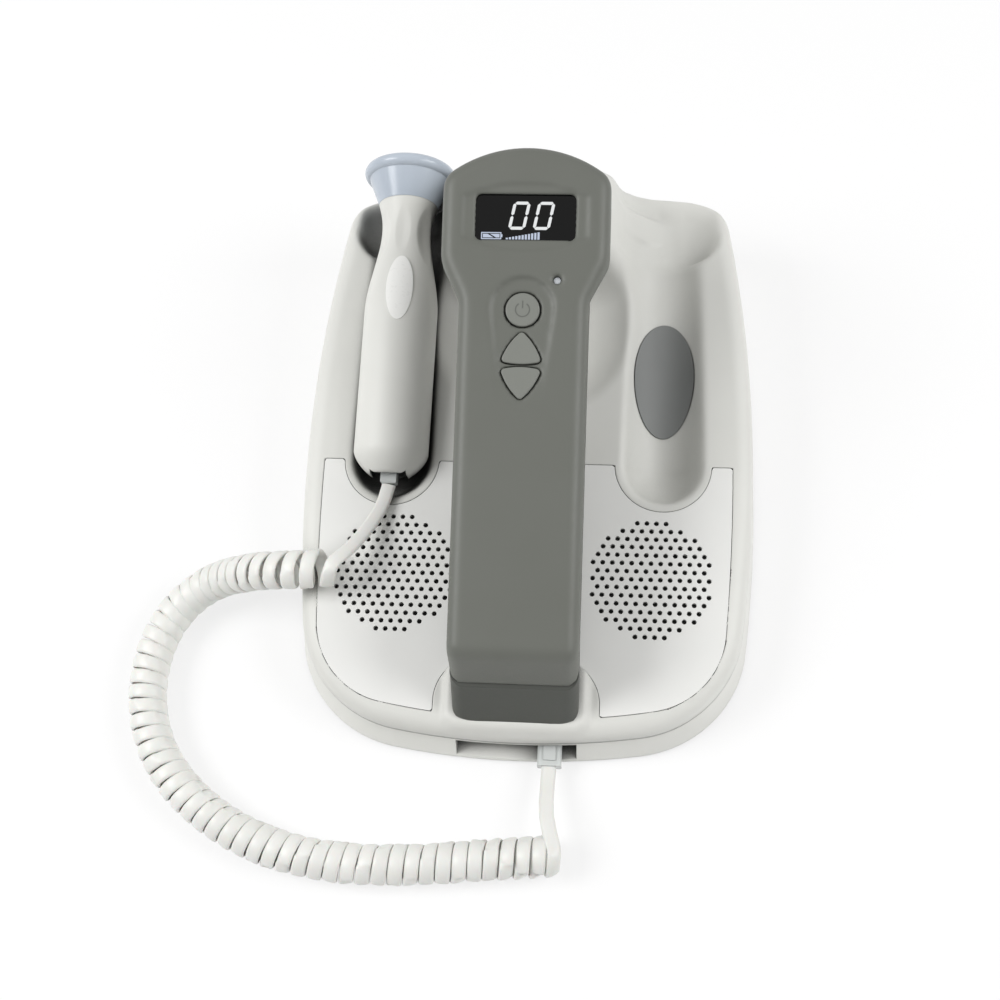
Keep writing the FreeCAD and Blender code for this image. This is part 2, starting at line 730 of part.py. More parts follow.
def bottom_housing():
    groove_z = -rim_depth - parting_groove
    skin = bottom_skin(0, groove_z, foot_height)
    neck_outer = moved(prism(base_outline(parting_groove, 0), groove_z - 0.5, -rim_depth), deck)
    room = bottom_skin(base_wall, groove_z, foot_height + base_wall)
    neck_inner = moved(prism(base_outline(parting_groove + base_wall, 0), groove_z - 2,
                             -rim_depth + 1), deck)
    shell = skin.fuse(neck_outer)
    frame = recess_box(base_wall, foot_height, recess_top_z + base_wall)
    behind_rim = moved(prism(base_outline(deck_wall + rim_draft + fit_gap, 0), -60, -1), deck)
    frame = frame.common(skin.fuse(behind_rim.common(frame)))
    shell = shell.cut([room, neck_inner])
    posts = []
    for x, y in screw_places():
        posts.append(moved(rod(boss_radius, 60, V(x, y, -60 - rim_depth)), deck))
    whole = skin.fuse(neck_outer)
    posts = [p.common(whole) for p in posts]
    stands = [rod(stand_radius, board_z - foot_height, V(x, y, foot_height))
              for x, y in board_holes()]
    shell = shell.multiFuse([frame] + posts + stands)
    cuts = [recess_box(0, foot_height + recess_sill, recess_top_z),
            box(jack_x - jack_width / 2 + 1, jack_x + jack_width / 2 - 1,
                recess_back_y - 1, recess_back_y + base_wall + 1,
                foot_height + recess_sill, recess_top_z),
            at_front_recess(box(-jack_width / 2 - fit_gap, jack_width / 2 + fit_gap, -fit_gap,
                                jack_length + fit_gap, foot_height + jack_floor - jack_z, 30)),
            box(-cover_half_width - fit_gap, cover_half_width + fit_gap,
                cover_front_y - fit_gap, cover_rear_y + fit_gap, 0, foot_height + base_wall + 1),
            rod(inlet_radius + fit_gap, inlet_length, V(inlet_x, rear_y - inlet_length / 2, inlet_z),
                V(0, 1, 0))]
    for x, y in screw_places():
        cuts.append(moved(rod(screw_radius + 0.2, 90, V(x, y, -80)), deck))
        cuts.append(moved(rod(screw_head_radius + 0.4, 90, V(x, y, -rim_depth - screw_neck - 90)),
                          deck))
    for x, y in foot_places():
        cuts.append(rod(foot_radius + 0.2, foot_recess, V(x, y, foot_height)))
    for x, y in board_holes():
        cuts.append(rod(screw_radius, board_screw_grip + 1, V(x, y, board_z - board_screw_grip - 1)))
    return shell.cut(cuts)


def foot_places():
    rear_x = rim_half_width - foot_side_inset
    front_x = rear_x - foot_front_step
    front = front_y + foot_front_inset
    rear = rear_y - foot_rear_inset
    return [(-front_x, front), (front_x, front), (-rear_x, rear), (rear_x, rear)]


def board_holes():
    return [(x, y) for x in (-board_half_width + 5, board_half_width - 5)
            for y in (board_front_y + 5, board_rear_y - 5)]


def rubber_feet():
    feet = []
    for x, y in foot_places():
        foot = rod(foot_radius, foot_height + foot_recess, V(x, y, 0))
        feet.append(foot.makeChamfer(0.8, [e for e in foot.Edges if e.BoundBox.ZMax < 0.01]))
    return Part.makeCompound(feet)


def screw(length, base, direction):
    """A pan-head screw whose head bears at base and whose shank runs along direction."""
    aim = V(*direction).normalize()
    top = base - aim * screw_head_height
    head = rod(screw_head_radius, screw_head_height, top, aim)
    slot = box(-0.5, 0.5, -screw_head_radius, screw_head_radius, 0, screw_head_height / 2)
    slot.Placement = FreeCAD.Placement(top, FreeCAD.Rotation(V(0, 0, 1), aim))
    return head.fuse(rod(screw_radius, length, base, aim)).cut(slot)


def housing_screws():
    screws = []
    for x, y in screw_places():
        base = V(x, y, -rim_depth - screw_neck)
        screws.append(screw(screw_neck + screw_grip, base, (0, 0, 1)))
    return Part.makeCompound(screws)


def battery_cover():
    plate = box(-cover_half_width, cover_half_width, cover_front_y, cover_rear_y,
                foot_height, foot_height + base_wall)
    for x in (-cover_half_width + 5, cover_half_width - 5):
        plate = plate.cut(rod(screw_radius + 0.2, 20, V(x, cover_front_y + 5, 0)))
    grips = [box(-14, 14, cover_rear_y - 12 + 3 * i, cover_rear_y - 11 + 3 * i, 0, foot_height + 0.5)
             for i in range(3)]
    return plate.cut(Part.makeCompound(grips))


def battery_pack():
    cells = []
    for i in range(cell_count):
        x = (i - (cell_count - 1) / 2) * (2 * cell_radius + 0.2)
        y = (cover_front_y + cover_rear_y - cell_length) / 2
        z = foot_height + base_wall + 0.6 + cell_radius
        cells.append(rod(cell_radius, cell_length, V(x, y, z), V(0, 1, 0)))
        cells.append(rod(cell_radius / 3, 1.2, V(x, y + cell_length, z), V(0, 1, 0)))
    return Part.makeCompound([fused(cells[2 * i:2 * i + 2]) for i in range(cell_count)])


def main_board():
    board = box(-board_half_width, board_half_width, board_front_y, board_rear_y,
                board_z, board_z + board_thickness)
    for x, y in board_holes():
        board = board.cut(rod(screw_radius + 0.2, 10, V(x, y, board_z - 4)))
    return board


def board_screws():
    top = board_z + board_thickness
    reach = board_thickness + board_screw_grip
    return Part.makeCompound([screw(reach, V(x, y, top), (0, 0, -1)) for x, y in board_holes()])


def board_components():
    top = board_z + board_thickness
    parts = [box(-34, -20, 30, 44, top, top + 2.4), box(-8, 6, 52, 70, top, top + 2.0),
             box(16, 30, 26, 40, top, top + 1.8), box(-44, -36, 60, 72, top, top + 7)]
    parts += [rod(4, 9, V(40, 52 + 10 * i, top)) for i in range(3)]
    return Part.makeCompound(parts)


def plug_room(width, latch_width, depth):
    """What a modular plug fills: along +Y from the origin, latch channel on top."""
    half = width / 2 + plug_gap
    tall = plug_height / 2 + plug_gap
    latch = latch_width / 2 + plug_gap
    main = box(-half, half, -1, depth, -tall, tall)
    return main.fuse(box(-latch, latch, -1, depth - 0.6, 0, tall + plug_latch))


def contact_places(count):
    return [(i - (count - 1) / 2) * plug_contact_pitch for i in range(count)]


def jack_body(width, latch_width, contact_count, under, over):
    """A modular jack drawn along +Y from its face, with its plug's axis at the origin."""
    half = jack_width / 2
    body = box(-half, half, 0, jack_length, -under, over)
    room = plug_room(width, latch_width, plug_engaged + plug_gap + 1)
    spring = contact_width / 2
    contacts = [box(x - spring, x + spring, plug_engaged / 2, plug_engaged * 0.75,
                    -plug_height / 2 - plug_gap, -plug_height / 2 + 0.1)
                for x in contact_places(contact_count)]
    return body.cut(room).multiFuse(contacts)


def modular_plug(width, latch_width, contact_count):
    """A clear plug drawn along +Y, its leading end at the origin, with its latch on top."""
    half = width / 2
    tall = plug_height / 2
    body = box(-half, half, -plug_length, 0, -tall, tall)
    tail = [e for e in body.Edges if e.BoundBox.YMax < -plug_length + 0.01]
    body = body.makeChamfer(0.5, tail)
    spring = plug_latch / 2
    latch = rounded_wire([(-1, tall - 0.1, 0), (-1, tall + spring, 0),
                          (-8, tall + plug_latch, 0), (4 - plug_length, tall + plug_latch, 0),
                          (4 - plug_length, tall + plug_latch - spring, 0),
                          (-8, tall + plug_latch - spring - 0.2, 0), (-2.4, tall - 0.1, 0)])
    tab = side_prism(latch, 0.4 - latch_width / 2, latch_width / 2 - 0.4)
    slot = contact_width / 2
    slots = [box(x - slot, x + slot, -7, 0.1, -tall - 0.1, -tall + 0.6)
             for x in contact_places(contact_count)]
    return body.fuse(tab).cut(Part.makeCompound(slots))


def at_front_recess(shape, inwards=0):
    place = V(jack_x, recess_back_y + base_wall + 0.2 + inwards, jack_z)
    return moved(shape, FreeCAD.Placement(place, FreeCAD.Rotation()))


def front_jack():
    return at_front_recess(jack_body(base_plug_width, base_plug_latch_width,
                                     base_plug_contacts, jack_under, jack_over))


def jack_board():
    half = jack_width / 2 + 4
    board = box(-half, half, 2, jack_length + 6, jack_over, jack_over + board_thickness)
    return at_front_recess(board)


def base_plug():
    plug = modular_plug(base_plug_width, base_plug_latch_width, base_plug_contacts)
    return at_front_recess(plug, plug_engaged)


def charger_inlet():
    """A round low-voltage socket: barrel, square body, bore and centre pin."""
    face_y = rear_y + inlet_stand
    rearwards = V(0, 1, 0)
    barrel = rod(inlet_radius, inlet_barrel, V(inlet_x, face_y - inlet_barrel, inlet_z), rearwards)
    body = box(inlet_x - inlet_body_half, inlet_x + inlet_body_half,
               face_y - inlet_length, face_y - inlet_barrel + 1.5,
               inlet_z - inlet_body_half, inlet_z + inlet_body_half)
    bore = rod(inlet_bore_radius, inlet_bore_depth + 1,
               V(inlet_x, face_y - inlet_bore_depth, inlet_z), rearwards)
    pin = rod(inlet_pin_radius, inlet_bore_depth - 4,
              V(inlet_x, face_y - inlet_bore_depth - 0.5, inlet_z), rearwards)
    return barrel.fuse(body).cut(bore).fuse(pin)


# ---- loudspeakers ---------------------------------------------------------------------------------
def speaker_frame():
    flange_z = -panel_thickness - ledge_thickness - gasket_thickness
    inner = speaker_radius - 5
    floor = flange_z - speaker_depth
    return revolved([
        (inner, flange_z), (speaker_radius, flange_z), (speaker_radius, flange_z - 1.4),
        (inner + 1.5, flange_z - 2.2), (magnet_radius, flange_z - 9),
        (magnet_radius, floor), (0, floor), (0, flange_z - 9.5),
        (magnet_radius - 3, flange_z - 9.5), (inner, flange_z - 1.6)], V(speaker_x, 0, 0))


def speaker_cone():
    flange_z = -panel_thickness - ledge_thickness - gasket_thickness
    inner = speaker_radius - 5.3
    return revolved([
        (inner, flange_z - 0.5), (inner - 2.5, flange_z + 0.7), (inner - 5, flange_z - 0.6),
        (9.5, flange_z - 6.8), (8, flange_z - 4.6), (4.5, flange_z - 3.2), (0, flange_z - 2.8),
        (0, flange_z - 3.6), (4, flange_z - 4.0), (7.4, flange_z - 5.4), (9.3, flange_z - 7.8),
        (inner - 5, flange_z - 1.5), (inner - 2.5, flange_z - 0.2), (inner, flange_z - 1.3)],
        V(speaker_x, 0, 0))


def speaker_gasket():
    top = -panel_thickness - ledge_thickness
    outer = rod(speaker_radius, gasket_thickness, V(speaker_x, 0, top - gasket_thickness))
    return outer.cut(rod(speaker_window_radius, 9, V(speaker_x, 0, top - 6)))


# ---- cradles ---------------------------------------------------------------------------------------
def cradle_tub():
    return cradle_cut(deck_wall).fuse(rim_notch(deck_wall))


def cradle_pad():
    """An oval rubber inlay that follows the trough's floor."""
    front = cradle_axis(0)
    outer = rod(cradle_radius + pad_recess, 260, front, cradle_direction)
    inner = rod(cradle_radius - pad_proud, 260, front, cradle_direction)
    return outer.cut(inner).common(pad_oval(0))


# ---- console -----------------------------------------------------------------------------------------
def head_undercut(inset):
    """What leans the head's tapers inwards, so that its underside is narrower than its top."""
    start = V(console_half_width, head_taper_front_y, 0)
    end = V(head_half_width, head_taper_rear_y, 0)
    along = (end - start).normalize()
    level = console_top_z(start.y) - undercut_depth
    lean = math.radians(undercut_lean)
    facing = V(along.y * math.cos(lean), -along.x * math.cos(lean), -math.sin(lean))
    far = head_rear_y
    half_space = box(0, far, -far, far, -far, far)
    half_space.Placement = FreeCAD.Placement(V(start.x, start.y, level) - facing * inset,
                                             FreeCAD.Rotation(V(1, 0, 0), facing))
    wedge = half_space.common(box(start.x - inset, head_half_width + 1, 0, far, 0, level))
    return [wedge, mirrored(wedge)]


def console_inside():
    return console_solid(console_wall).cut(head_undercut(console_wall))


def console_outer():
    """The console's outside, rounded along its top and along its underside."""
    body = console_solid(0)
    top = []
    under = []
    for e in body.Edges:
        middle = e.valueAt((e.FirstParameter + e.LastParameter) / 2)
        level = console_in_deck.inverse().multVec(middle).z
        if abs(level) < 0.2 and middle.y > console_nose_y:
            top.append(e)
        if abs(level + console_thickness) < 0.2 and middle.y > console_arch_y:
            under.append(e)
    body = body.makeFillet(console_round, top)
    body = body.makeFillet(console_under_round, [e for e in body.Edges if any(
        (e.CenterOfMass - u.CenterOfMass).Length < 0.5 for u in under)])
    return body.cut(head_undercut(0))


def well_wire(grow):
    """The egg-shaped hollow round the buttons, as seen on the console's top."""
    r = button_well_radius + grow
    end = button_well_end_half_width + grow
    half_turn = math.radians(6)
    left = V(-r * math.cos(half_turn), button_well_y - r * math.sin(half_turn), 0)
    right = V(-left.x, left.y, 0)
    crown = Part.Arc(right, V(0, button_well_y + r, 0), left).toShape()
    foot_left = V(-end, button_well_end_y - grow, 0)
    foot_right = V(end, button_well_end_y - grow, 0)
    sides = [Part.makeLine(left, foot_left), Part.makeLine(foot_left, foot_right),
             Part.makeLine(foot_right, right)]
    return Part.Wire([crown] + sides)


def button_well():
    """The hollow is deepest round the power button and fades out towards the arrows' end."""
    wedge = prism(well_wire(0), -button_well_depth, 6)
    fade = math.degrees(math.atan2(button_well_depth, button_well_y - button_well_end_y))
    under = -console_thickness
    length = button_well_y
    cutter = box(-head_half_width, head_half_width, -length, length, under, 0)
    cutter.Placement = FreeCAD.Placement(V(0, button_well_end_y, 0),
                                         FreeCAD.Rotation(V(1, 0, 0), -fade))
    return wedge.cut(cutter)


def brow_wire():
    """The shallow hollow round the display, bowed at its front and its rear."""
    half = brow_width / 2
    tall = brow_length / 2
    side = tall - brow_bow
    rear = [V(half, window_y + side, 0), V(0, window_y + tall, 0), V(-half, window_y + side, 0)]
    front = [V(-half, window_y - side, 0), V(0, window_y - tall, 0), V(half, window_y - side, 0)]
    return Part.Wire([Part.Arc(*rear).toShape(), Part.makeLine(rear[2], front[0]),
                      Part.Arc(*front).toShape(), Part.makeLine(front[2], rear[0])])


def rectangle(width, length, y, corner):
    w = width / 2
    t = length / 2
    return rounded_wire([(-w, y - t, corner), (w, y - t, corner), (w, y + t, corner),
                         (-w, y + t, corner)])


def console_screw_places():
    front = [(x, console_screw_front) for x in (-console_screw_front_x, console_screw_front_x)]
    return front + [(x, console_screw_rear) for x in (-console_screw_rear_x, console_screw_rear_x)]


def console_cover():
    shell = console_outer().cut(console_inside())
    shell = shell.common(console_block(-20, console_seam))
    shell = moved(shell, console_in_deck.inverse())
    backing = prism(well_wire(1.5), -button_wall - button_well_depth, -console_wall + 0.5)
    posts = [rod(console_boss_radius, console_seam - 1, V(x, y, -console_seam))
             for x, y in console_screw_places()]
    shell = shell.multiFuse([backing] + posts)
    cuts = [button_well(), prism(brow_wire(), -brow_depth, 5),
            prism(rectangle(window_width, window_length, window_y, window_corner), -20, 5),
            rod(power_radius + button_gap, 30, V(0, power_y, -20)),
            arrow_prism(1, button_gap, up_y, -20, 5), arrow_prism(-1, button_gap, down_y, -20, 5),
            rod(lamp_radius + 0.1, 20, V(lamp_x, lamp_y, -15)),
            Part.makeCone(lamp_radius, lamp_radius + 1.3, 1.3, V(lamp_x, lamp_y, -1.3))]
    cuts += [rod(screw_radius, console_screw_grip + 1, V(x, y, -console_seam))
             for x, y in console_screw_places()]
    return moved(shell.cut(cuts), console_in_deck)


def console_base():
    shell = console_outer().cut(console_inside())
    shell = shell.common(console_block(console_seam, 90))
    shell = moved(shell, console_in_deck.inverse())
    posts = [rod(console_boss_radius, console_thickness - console_seam - 1,
                 V(x, y, -console_thickness + 1)) for x, y in console_screw_places()]
    shell = shell.multiFuse(posts)
    cuts = []
    for x, y in console_screw_places():
        cuts.append(rod(screw_radius + 0.2, 40, V(x, y, -console_thickness - 5)))
        cuts.append(rod(screw_head_radius + 0.4, 20, V(x, y, -console_seam - console_post - 20)))
    return moved(shell.cut(cuts), console_in_deck)


def console_screws():
    seat = console_seam + console_post
    screws = [screw(console_post + console_screw_grip, V(x, y, -seat), (0, 0, 1))
              for x, y in console_screw_places()]
    return moved(Part.makeCompound(screws), console_in_deck)


def display_lens():
    plate = prism(rectangle(window_width + 4, window_length + 4, window_y, 2),
                  -console_wall - lens_thickness, -console_wall)
    return moved(plate, console_in_deck)


def display_module():
    top = -console_wall - lens_thickness - 0.2
    frame = rectangle(window_width + 3, window_length + 5, window_y, 0.5)
    return moved(prism(frame, board_top, top), console_in_deck)


def console_board():
    board = box(-board_width / 2, board_width / 2, board_front, board_rear,
                board_top - board_thickness, board_top)
    return moved(board, console_in_deck)


def key_switches():
    switches = [box(-3, 3, y - 3, y + 3, board_top, board_top + switch_height)
                for y in (power_y, up_y, down_y)]
    return moved(Part.makeCompound(switches), console_in_deck)


def dome_sheet():
    """The rubber sheet whose three domes push the buttons back up."""
    level = board_top + switch_height
    sheet = box(-12, 12, down_y - 12, power_y + 10, level, level + 0.6)
    domes = [Part.makeCone(dome_radius, dome_radius - 1, dome_height, V(0, y, level + 0.6))
             for y in (power_y, up_y, down_y)]
    return moved(sheet.multiFuse(domes), console_in_deck)


def lamp_pipe():
    pipe = rod(lamp_radius - 0.1, -board_top - 2.4, V(lamp_x, lamp_y, board_top))
    return moved(pipe, console_in_deck)


def power_button():
    well = button_floor(power_y)
    cap = rod(power_radius, button_height + button_proud, V(0, power_y, well - button_height))
    cap = cap.makeFillet(0.6, [e for e in cap.Edges if e.BoundBox.ZMin > well])
    flange = rod(power_radius + button_flange, button_flange_thickness,
                 V(0, power_y, well - button_height))
    return moved(cap.fuse(flange), console_in_deck)


def arrow_button(direction, y):
    well = button_floor(y)
    cap = arrow_prism(direction, 0, y, well - button_height, well + button_proud)
    rim = [e for e in cap.Edges if e.BoundBox.ZMin > well + button_proud - 0.01]
    cap = cap.makeFillet(0.5, rim)
    flange = arrow_prism(direction, button_flange, y, well - button_height,
                         well - button_height + button_flange_thickness)
    between = (up_y + down_y) / 2
    far = arrow_length * 2
    beyond = box(-far, far, between - far, between + fit_gap / 2, -far, far)
    if direction < 0:
        beyond = box(-far, far, between - fit_gap / 2, between + far, -far, far)
    return moved(cap.fuse(flange.cut(beyond)), console_in_deck)


def button_floor(y):
    """Depth of the button well at a place along the console."""
    share = (y - button_well_end_y) / (button_well_y - button_well_end_y)
    return -button_well_depth * min(share, 1)


# ---- probe -----------------------------------------------------------------------------------------
def probe_profile(shrink):
    """Half outline of the probe's body along its axis: flat end, grip, neck and collar."""
    body = probe_radius - shrink
    start = V(0, 0, shrink)
    end = V(probe_end_radius - shrink, 0, shrink)
    shoulder = V(body, 0, probe_shoulder)
    grip = V(body, 0, probe_straight_end)
    neck = V(probe_neck_radius - shrink, 0, probe_neck_at)
    collar = V(probe_collar_radius - shrink, 0, probe_collar_at)
    chord = shoulder - end
    swell = (end + shoulder) * 0.5 + V(chord.z, 0, -chord.x).normalize() * probe_shoulder_bow
    waist = Part.BSplineCurve()
    waist.interpolate([grip, neck, collar], Tangents=[V(0, 0, 1), V(0, 0, 1), V(0.35, 0, 1)],
                      TangentFlags=[True, True, True])
    wire = Part.Wire([Part.makeLine(start, end), Part.Arc(end, swell, shoulder).toShape(),
                      Part.makeLine(shoulder, grip), waist.toShape(),
                      Part.makeLine(collar, V(0, 0, probe_collar_at)),
                      Part.makeLine(V(0, 0, probe_collar_at), start)])
    return Part.Face(wire)


def probe_solid(shrink):
    return probe_profile(shrink).revolve(V(0, 0, 0), V(0, 0, 1), 360)


def in_cradle(shape):
    """Lay what is drawn along +Z, its top towards -Y, into the left cradle."""
    start = cradle_axis(probe_start_y)
    start.x = -cradle_x - probe_side_play
    askew = FreeCAD.Rotation(V(0, 0, 1), -probe_skew)
    laid = FreeCAD.Rotation(V(1, 0, 0), cradle_tilt - 90)
    return moved(shape, FreeCAD.Placement(start, askew.multiply(laid)))


def along_probe(shape, at):
    """Aim what is drawn along +Y, its top towards +Z, along the probe, from a place on it."""
    return moved(shape, FreeCAD.Placement(V(0, 0, at), FreeCAD.Rotation(V(1, 0, 0), 90)))


def probe_half(top):
    """Half of the probe's hollow body; the joint between the halves runs along its sides."""
    half = probe_mouth_half_width
    mouth = box(-half, half, -1, probe_mouth_depth, -probe_mouth_under, probe_mouth_over)
    far = probe_radius * 2
    lean = box(-far, far, -far, 0, 0, far)
    lean.Placement = FreeCAD.Placement(V(0, 0, 0), FreeCAD.Rotation(V(1, 0, 0), -probe_end_lean))
    shell = probe_solid(0).cut(probe_solid(probe_wall))
    shell = shell.cut([along_probe(mouth, 0), along_probe(lean, 0)])
    side = box(-far, far, -far, 0, -1, probe_collar_at + 1)
    if not top:
        side = box(-far, far, 0, far, -1, probe_collar_at + 1)
    return in_cradle(shell.common(side))


def probe_cap():
    """The soft head: a spigot in the collar, a flare, a broad rounded disc and a low dome."""
    joint = probe_collar_at
    spigot = probe_neck_radius - probe_wall + 1
    flare_end = V(head_disc_radius - head_rim_round, 0, head_disc_at - head_rim_round)
    widest = V(head_disc_radius, 0, head_disc_at)
    rim_end = V(head_disc_radius - head_rim_round, 0, head_disc_end - head_dome)
    flare = Part.makeLine(V(probe_collar_radius, 0, joint), flare_end)
    edge = Part.Arc(flare_end, widest, rim_end).toShape()
    dome_radius = (rim_end.x ** 2 + head_dome ** 2) / (2 * head_dome)
    sag = dome_radius - math.sqrt(dome_radius ** 2 - rim_end.x ** 2 / 4)
    halfway = V(rim_end.x / 2, 0, head_disc_end - sag)
    dome = Part.Arc(rim_end, halfway, V(0, 0, head_disc_end)).toShape()
    start = V(0, 0, joint - cap_spigot)
    corner = V(spigot, 0, joint - cap_spigot)
    wire = Part.Wire([Part.makeLine(start, corner), Part.makeLine(corner, V(spigot, 0, joint)),
                      Part.makeLine(V(spigot, 0, joint), V(probe_collar_radius, 0, joint)),
                      flare, edge, dome, Part.makeLine(V(0, 0, head_disc_end), start)])
    cap = Part.Face(wire).revolve(V(0, 0, 0), V(0, 0, 1), 360)
    room = rod(crystal_radius + 0.1, crystal_thickness + 5, V(0, 0, head_disc_end - 11.6))
    bore = rod(spigot - probe_wall, 15, V(0, 0, joint - cap_spigot - 1))
    return in_cradle(cap.cut(room.fuse(bore)))


def probe_crystals():
    """Two half discs that send and receive, side by side behind the cap's face."""
    disc = rod(crystal_radius, crystal_thickness, V(0, 0, head_disc_end - 3.6 - crystal_thickness))
    gap = box(-0.3, 0.3, -crystal_radius, crystal_radius, 0, head_disc_end)
    return in_cradle(disc.cut(gap))


def probe_backing():
    return in_cradle(rod(crystal_radius - 1, 4.8, V(0, 0, head_disc_end - 11.5)))


def probe_board():
    half = probe_radius - probe_wall - 3
    start = probe_mouth_depth + jack_length + 5
    board = box(-half, half, -board_thickness / 2, board_thickness / 2, start, probe_straight_end)
    chips = [box(-5, 5, -board_thickness / 2 - 2, -board_thickness / 2, start + 10 + 16 * i,
                 start + 19 + 16 * i) for i in range(3)]
    return in_cradle(board.multiFuse(chips))


def probe_jack():
    over = plug_height / 2 + plug_latch + 1.2
    body = jack_body(handset_plug_width, handset_plug_latch_width, handset_plug_contacts,
                     jack_under, over)
    return in_cradle(along_probe(body, probe_mouth_depth))


def probe_plug():
    plug = modular_plug(handset_plug_width, handset_plug_latch_width, handset_plug_contacts)
    return in_cradle(along_probe(plug, probe_mouth_depth + plug_engaged))


def probe_label():
    """A bare oval label laid on the top of the probe's grip."""
    long_end = V(0, 0, label_at + label_half_length)
    oval = Part.Ellipse(long_end, V(label_half_width, 0, label_at), V(0, 0, label_at))
    column = Part.Face(Part.Wire(oval.toShape())).extrude(V(0, -probe_radius - 5, 0))
    column.rotate(V(0, 0, 0), V(0, 0, 1), label_turn)
    return in_cradle(probe_solid(-label_thickness).cut(probe_solid(0)).common(column))


# ---- cord ---------------------------------------------------------------------------------------
def bend_radius(before, here, after, angle):
    return run_share * min((here - before).Length, (after - here).Length) / math.tan(angle / 2)


def bent_path(name, points):
    """Straight runs joined by tangent arcs that take as much of their runs as they may."""
    corners = [V(*p) for p in points]
    edges = []
    radii = []
    last = corners[0]
    for before, here, after in zip(corners, corners[1:], corners[2:]):
        into = (here - before).normalize()
        out = (after - here).normalize()
        angle = into.getAngle(out)
        radius = bend_radius(before, here, after, angle)
        radii.append(round(radius, 1))
        reach = radius * math.tan(angle / 2)
        start = here - into * reach
        stop = here + out * reach
        inwards = (out - into).normalize()
        middle = here + inwards * (radius / math.cos(angle / 2) - radius)
        edges.append(Part.LineSegment(last, start).toShape())
        edges.append(Part.Arc(start, middle, stop).toShape())
        last = stop
    edges.append(Part.LineSegment(last, corners[-1]).toShape())
    path = Part.Wire(edges)
    print(name, "length", round(path.Length, 1), "bend radii", radii)
    return path


def tube(name, points, diameter):
    path = bent_path(name, points)
    start = V(*points[0])
    ring = Part.Wire(Part.makeCircle(diameter / 2, start, V(*points[1]) - start))
    solid = path.makePipeShell([ring], True, False)
    expected = math.pi * diameter ** 2 / 4 * path.Length
    print(name, "volume over section times length", round(solid.Volume / expected, 4))
    return solid


# ---- the assembly -------------------------------------------------------------------------------
in_deck = {
    "top_housing": top_housing(),
    "right_speaker_panel": speaker_panel(),
    "left_speaker_panel": mirrored(speaker_panel()),
    "right_speaker_frame": speaker_frame(),
    "left_speaker_frame": mirrored(speaker_frame()),
    "right_speaker_cone": speaker_cone(),
    "left_speaker_cone": mirrored(speaker_cone()),
    "right_speaker_gasket": speaker_gasket(),
    "left_speaker_gasket": mirrored(speaker_gasket()),
    "right_cradle_pad": cradle_pad(),
    "left_cradle_pad": mirrored(cradle_pad()),
    "housing_screws": housing_screws(),
    "console_cover": console_cover(),
    "console_base": console_base(),
    "console_screws": console_screws(),
    "display_lens": display_lens(),
    "display_module": display_module(),
    "console_board": console_board(),
    "key_switches": key_switches(),
    "dome_sheet": dome_sheet(),
    "lamp_pipe": lamp_pipe(),
    "power_button": power_button(),
    "volume_up_button": arrow_button(1, up_y),
    "volume_down_button": arrow_button(-1, down_y),
    "probe_upper_shell": probe_half(True),
    "probe_lower_shell": probe_half(False),
    "probe_cap": probe_cap(),
    "probe_crystals": probe_crystals(),
    "probe_backing": probe_backing(),
    "probe_board": probe_board(),
    "probe_jack": probe_jack(),
    "probe_label": probe_label(),
    "probe_plug": probe_plug(),
}
on_table = {
    "bottom_housing": bottom_housing(),
    "rubber_feet": rubber_feet(),
    "battery_cover": battery_cover(),
    "battery_pack": battery_pack(),
    "main_board": main_board(),
    "board_components": board_components(),
    "board_screws": board_screws(),
    "front_jack": front_jack(),
    "jack_board": jack_board(),
    "charger_inlet": charger_inlet(),
    "base_plug": base_plug(),
}
cords = {
    "cord_probe_tail": tube("cord_probe_tail", probe_tail, tail_diameter),
    "cord_coil": tube("cord_coil", coil, coil_diameter),
    "cord_base_tail": tube("cord_base_tail", base_tail, tail_diameter),
}

shapes = {name: moved(shape, deck) for name, shape in in_deck.items()}
shapes.update(on_table)

# The origin goes to the table, under the middle of the object without its cord.
boxes = [s.optimalBoundingBox(True, False) for n, s in shapes.items() if n not in cord_pieces]
middle_y = (min(b.YMin for b in boxes) + max(b.YMax for b in boxes)) / 2
centred = FreeCAD.Placement(V(0, -middle_y, 0), FreeCAD.Rotation())
shapes.update(cords)
for name, shape in shapes.items():
    shape = moved(shape, centred)
    shape.exportStep("parts/" + name + ".step")
    if not shape.isValid() or shape.Volume <= 0:
        print("not a valid solid:", name)
print("shift along Y", round(-middle_y, 3))
print("size", [round(max(getattr(b, axis + "Max") for b in boxes)
                     - min(getattr(b, axis + "Min") for b in boxes), 2) for axis in "XYZ"])
for name, y in (("power_button", power_y), ("volume_up_button", up_y),
                ("volume_down_button", down_y)):
    spot = centred.multiply(console).multVec(V(0, y, 0))
    print(name, "at", [round(v, 2) for v in spot])
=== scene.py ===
import math

import bmesh
import bpy
import numpy as np
from mathutils import Matrix, Vector
from mathutils.geometry import convex_hull_2d, delaunay_2d_cdt


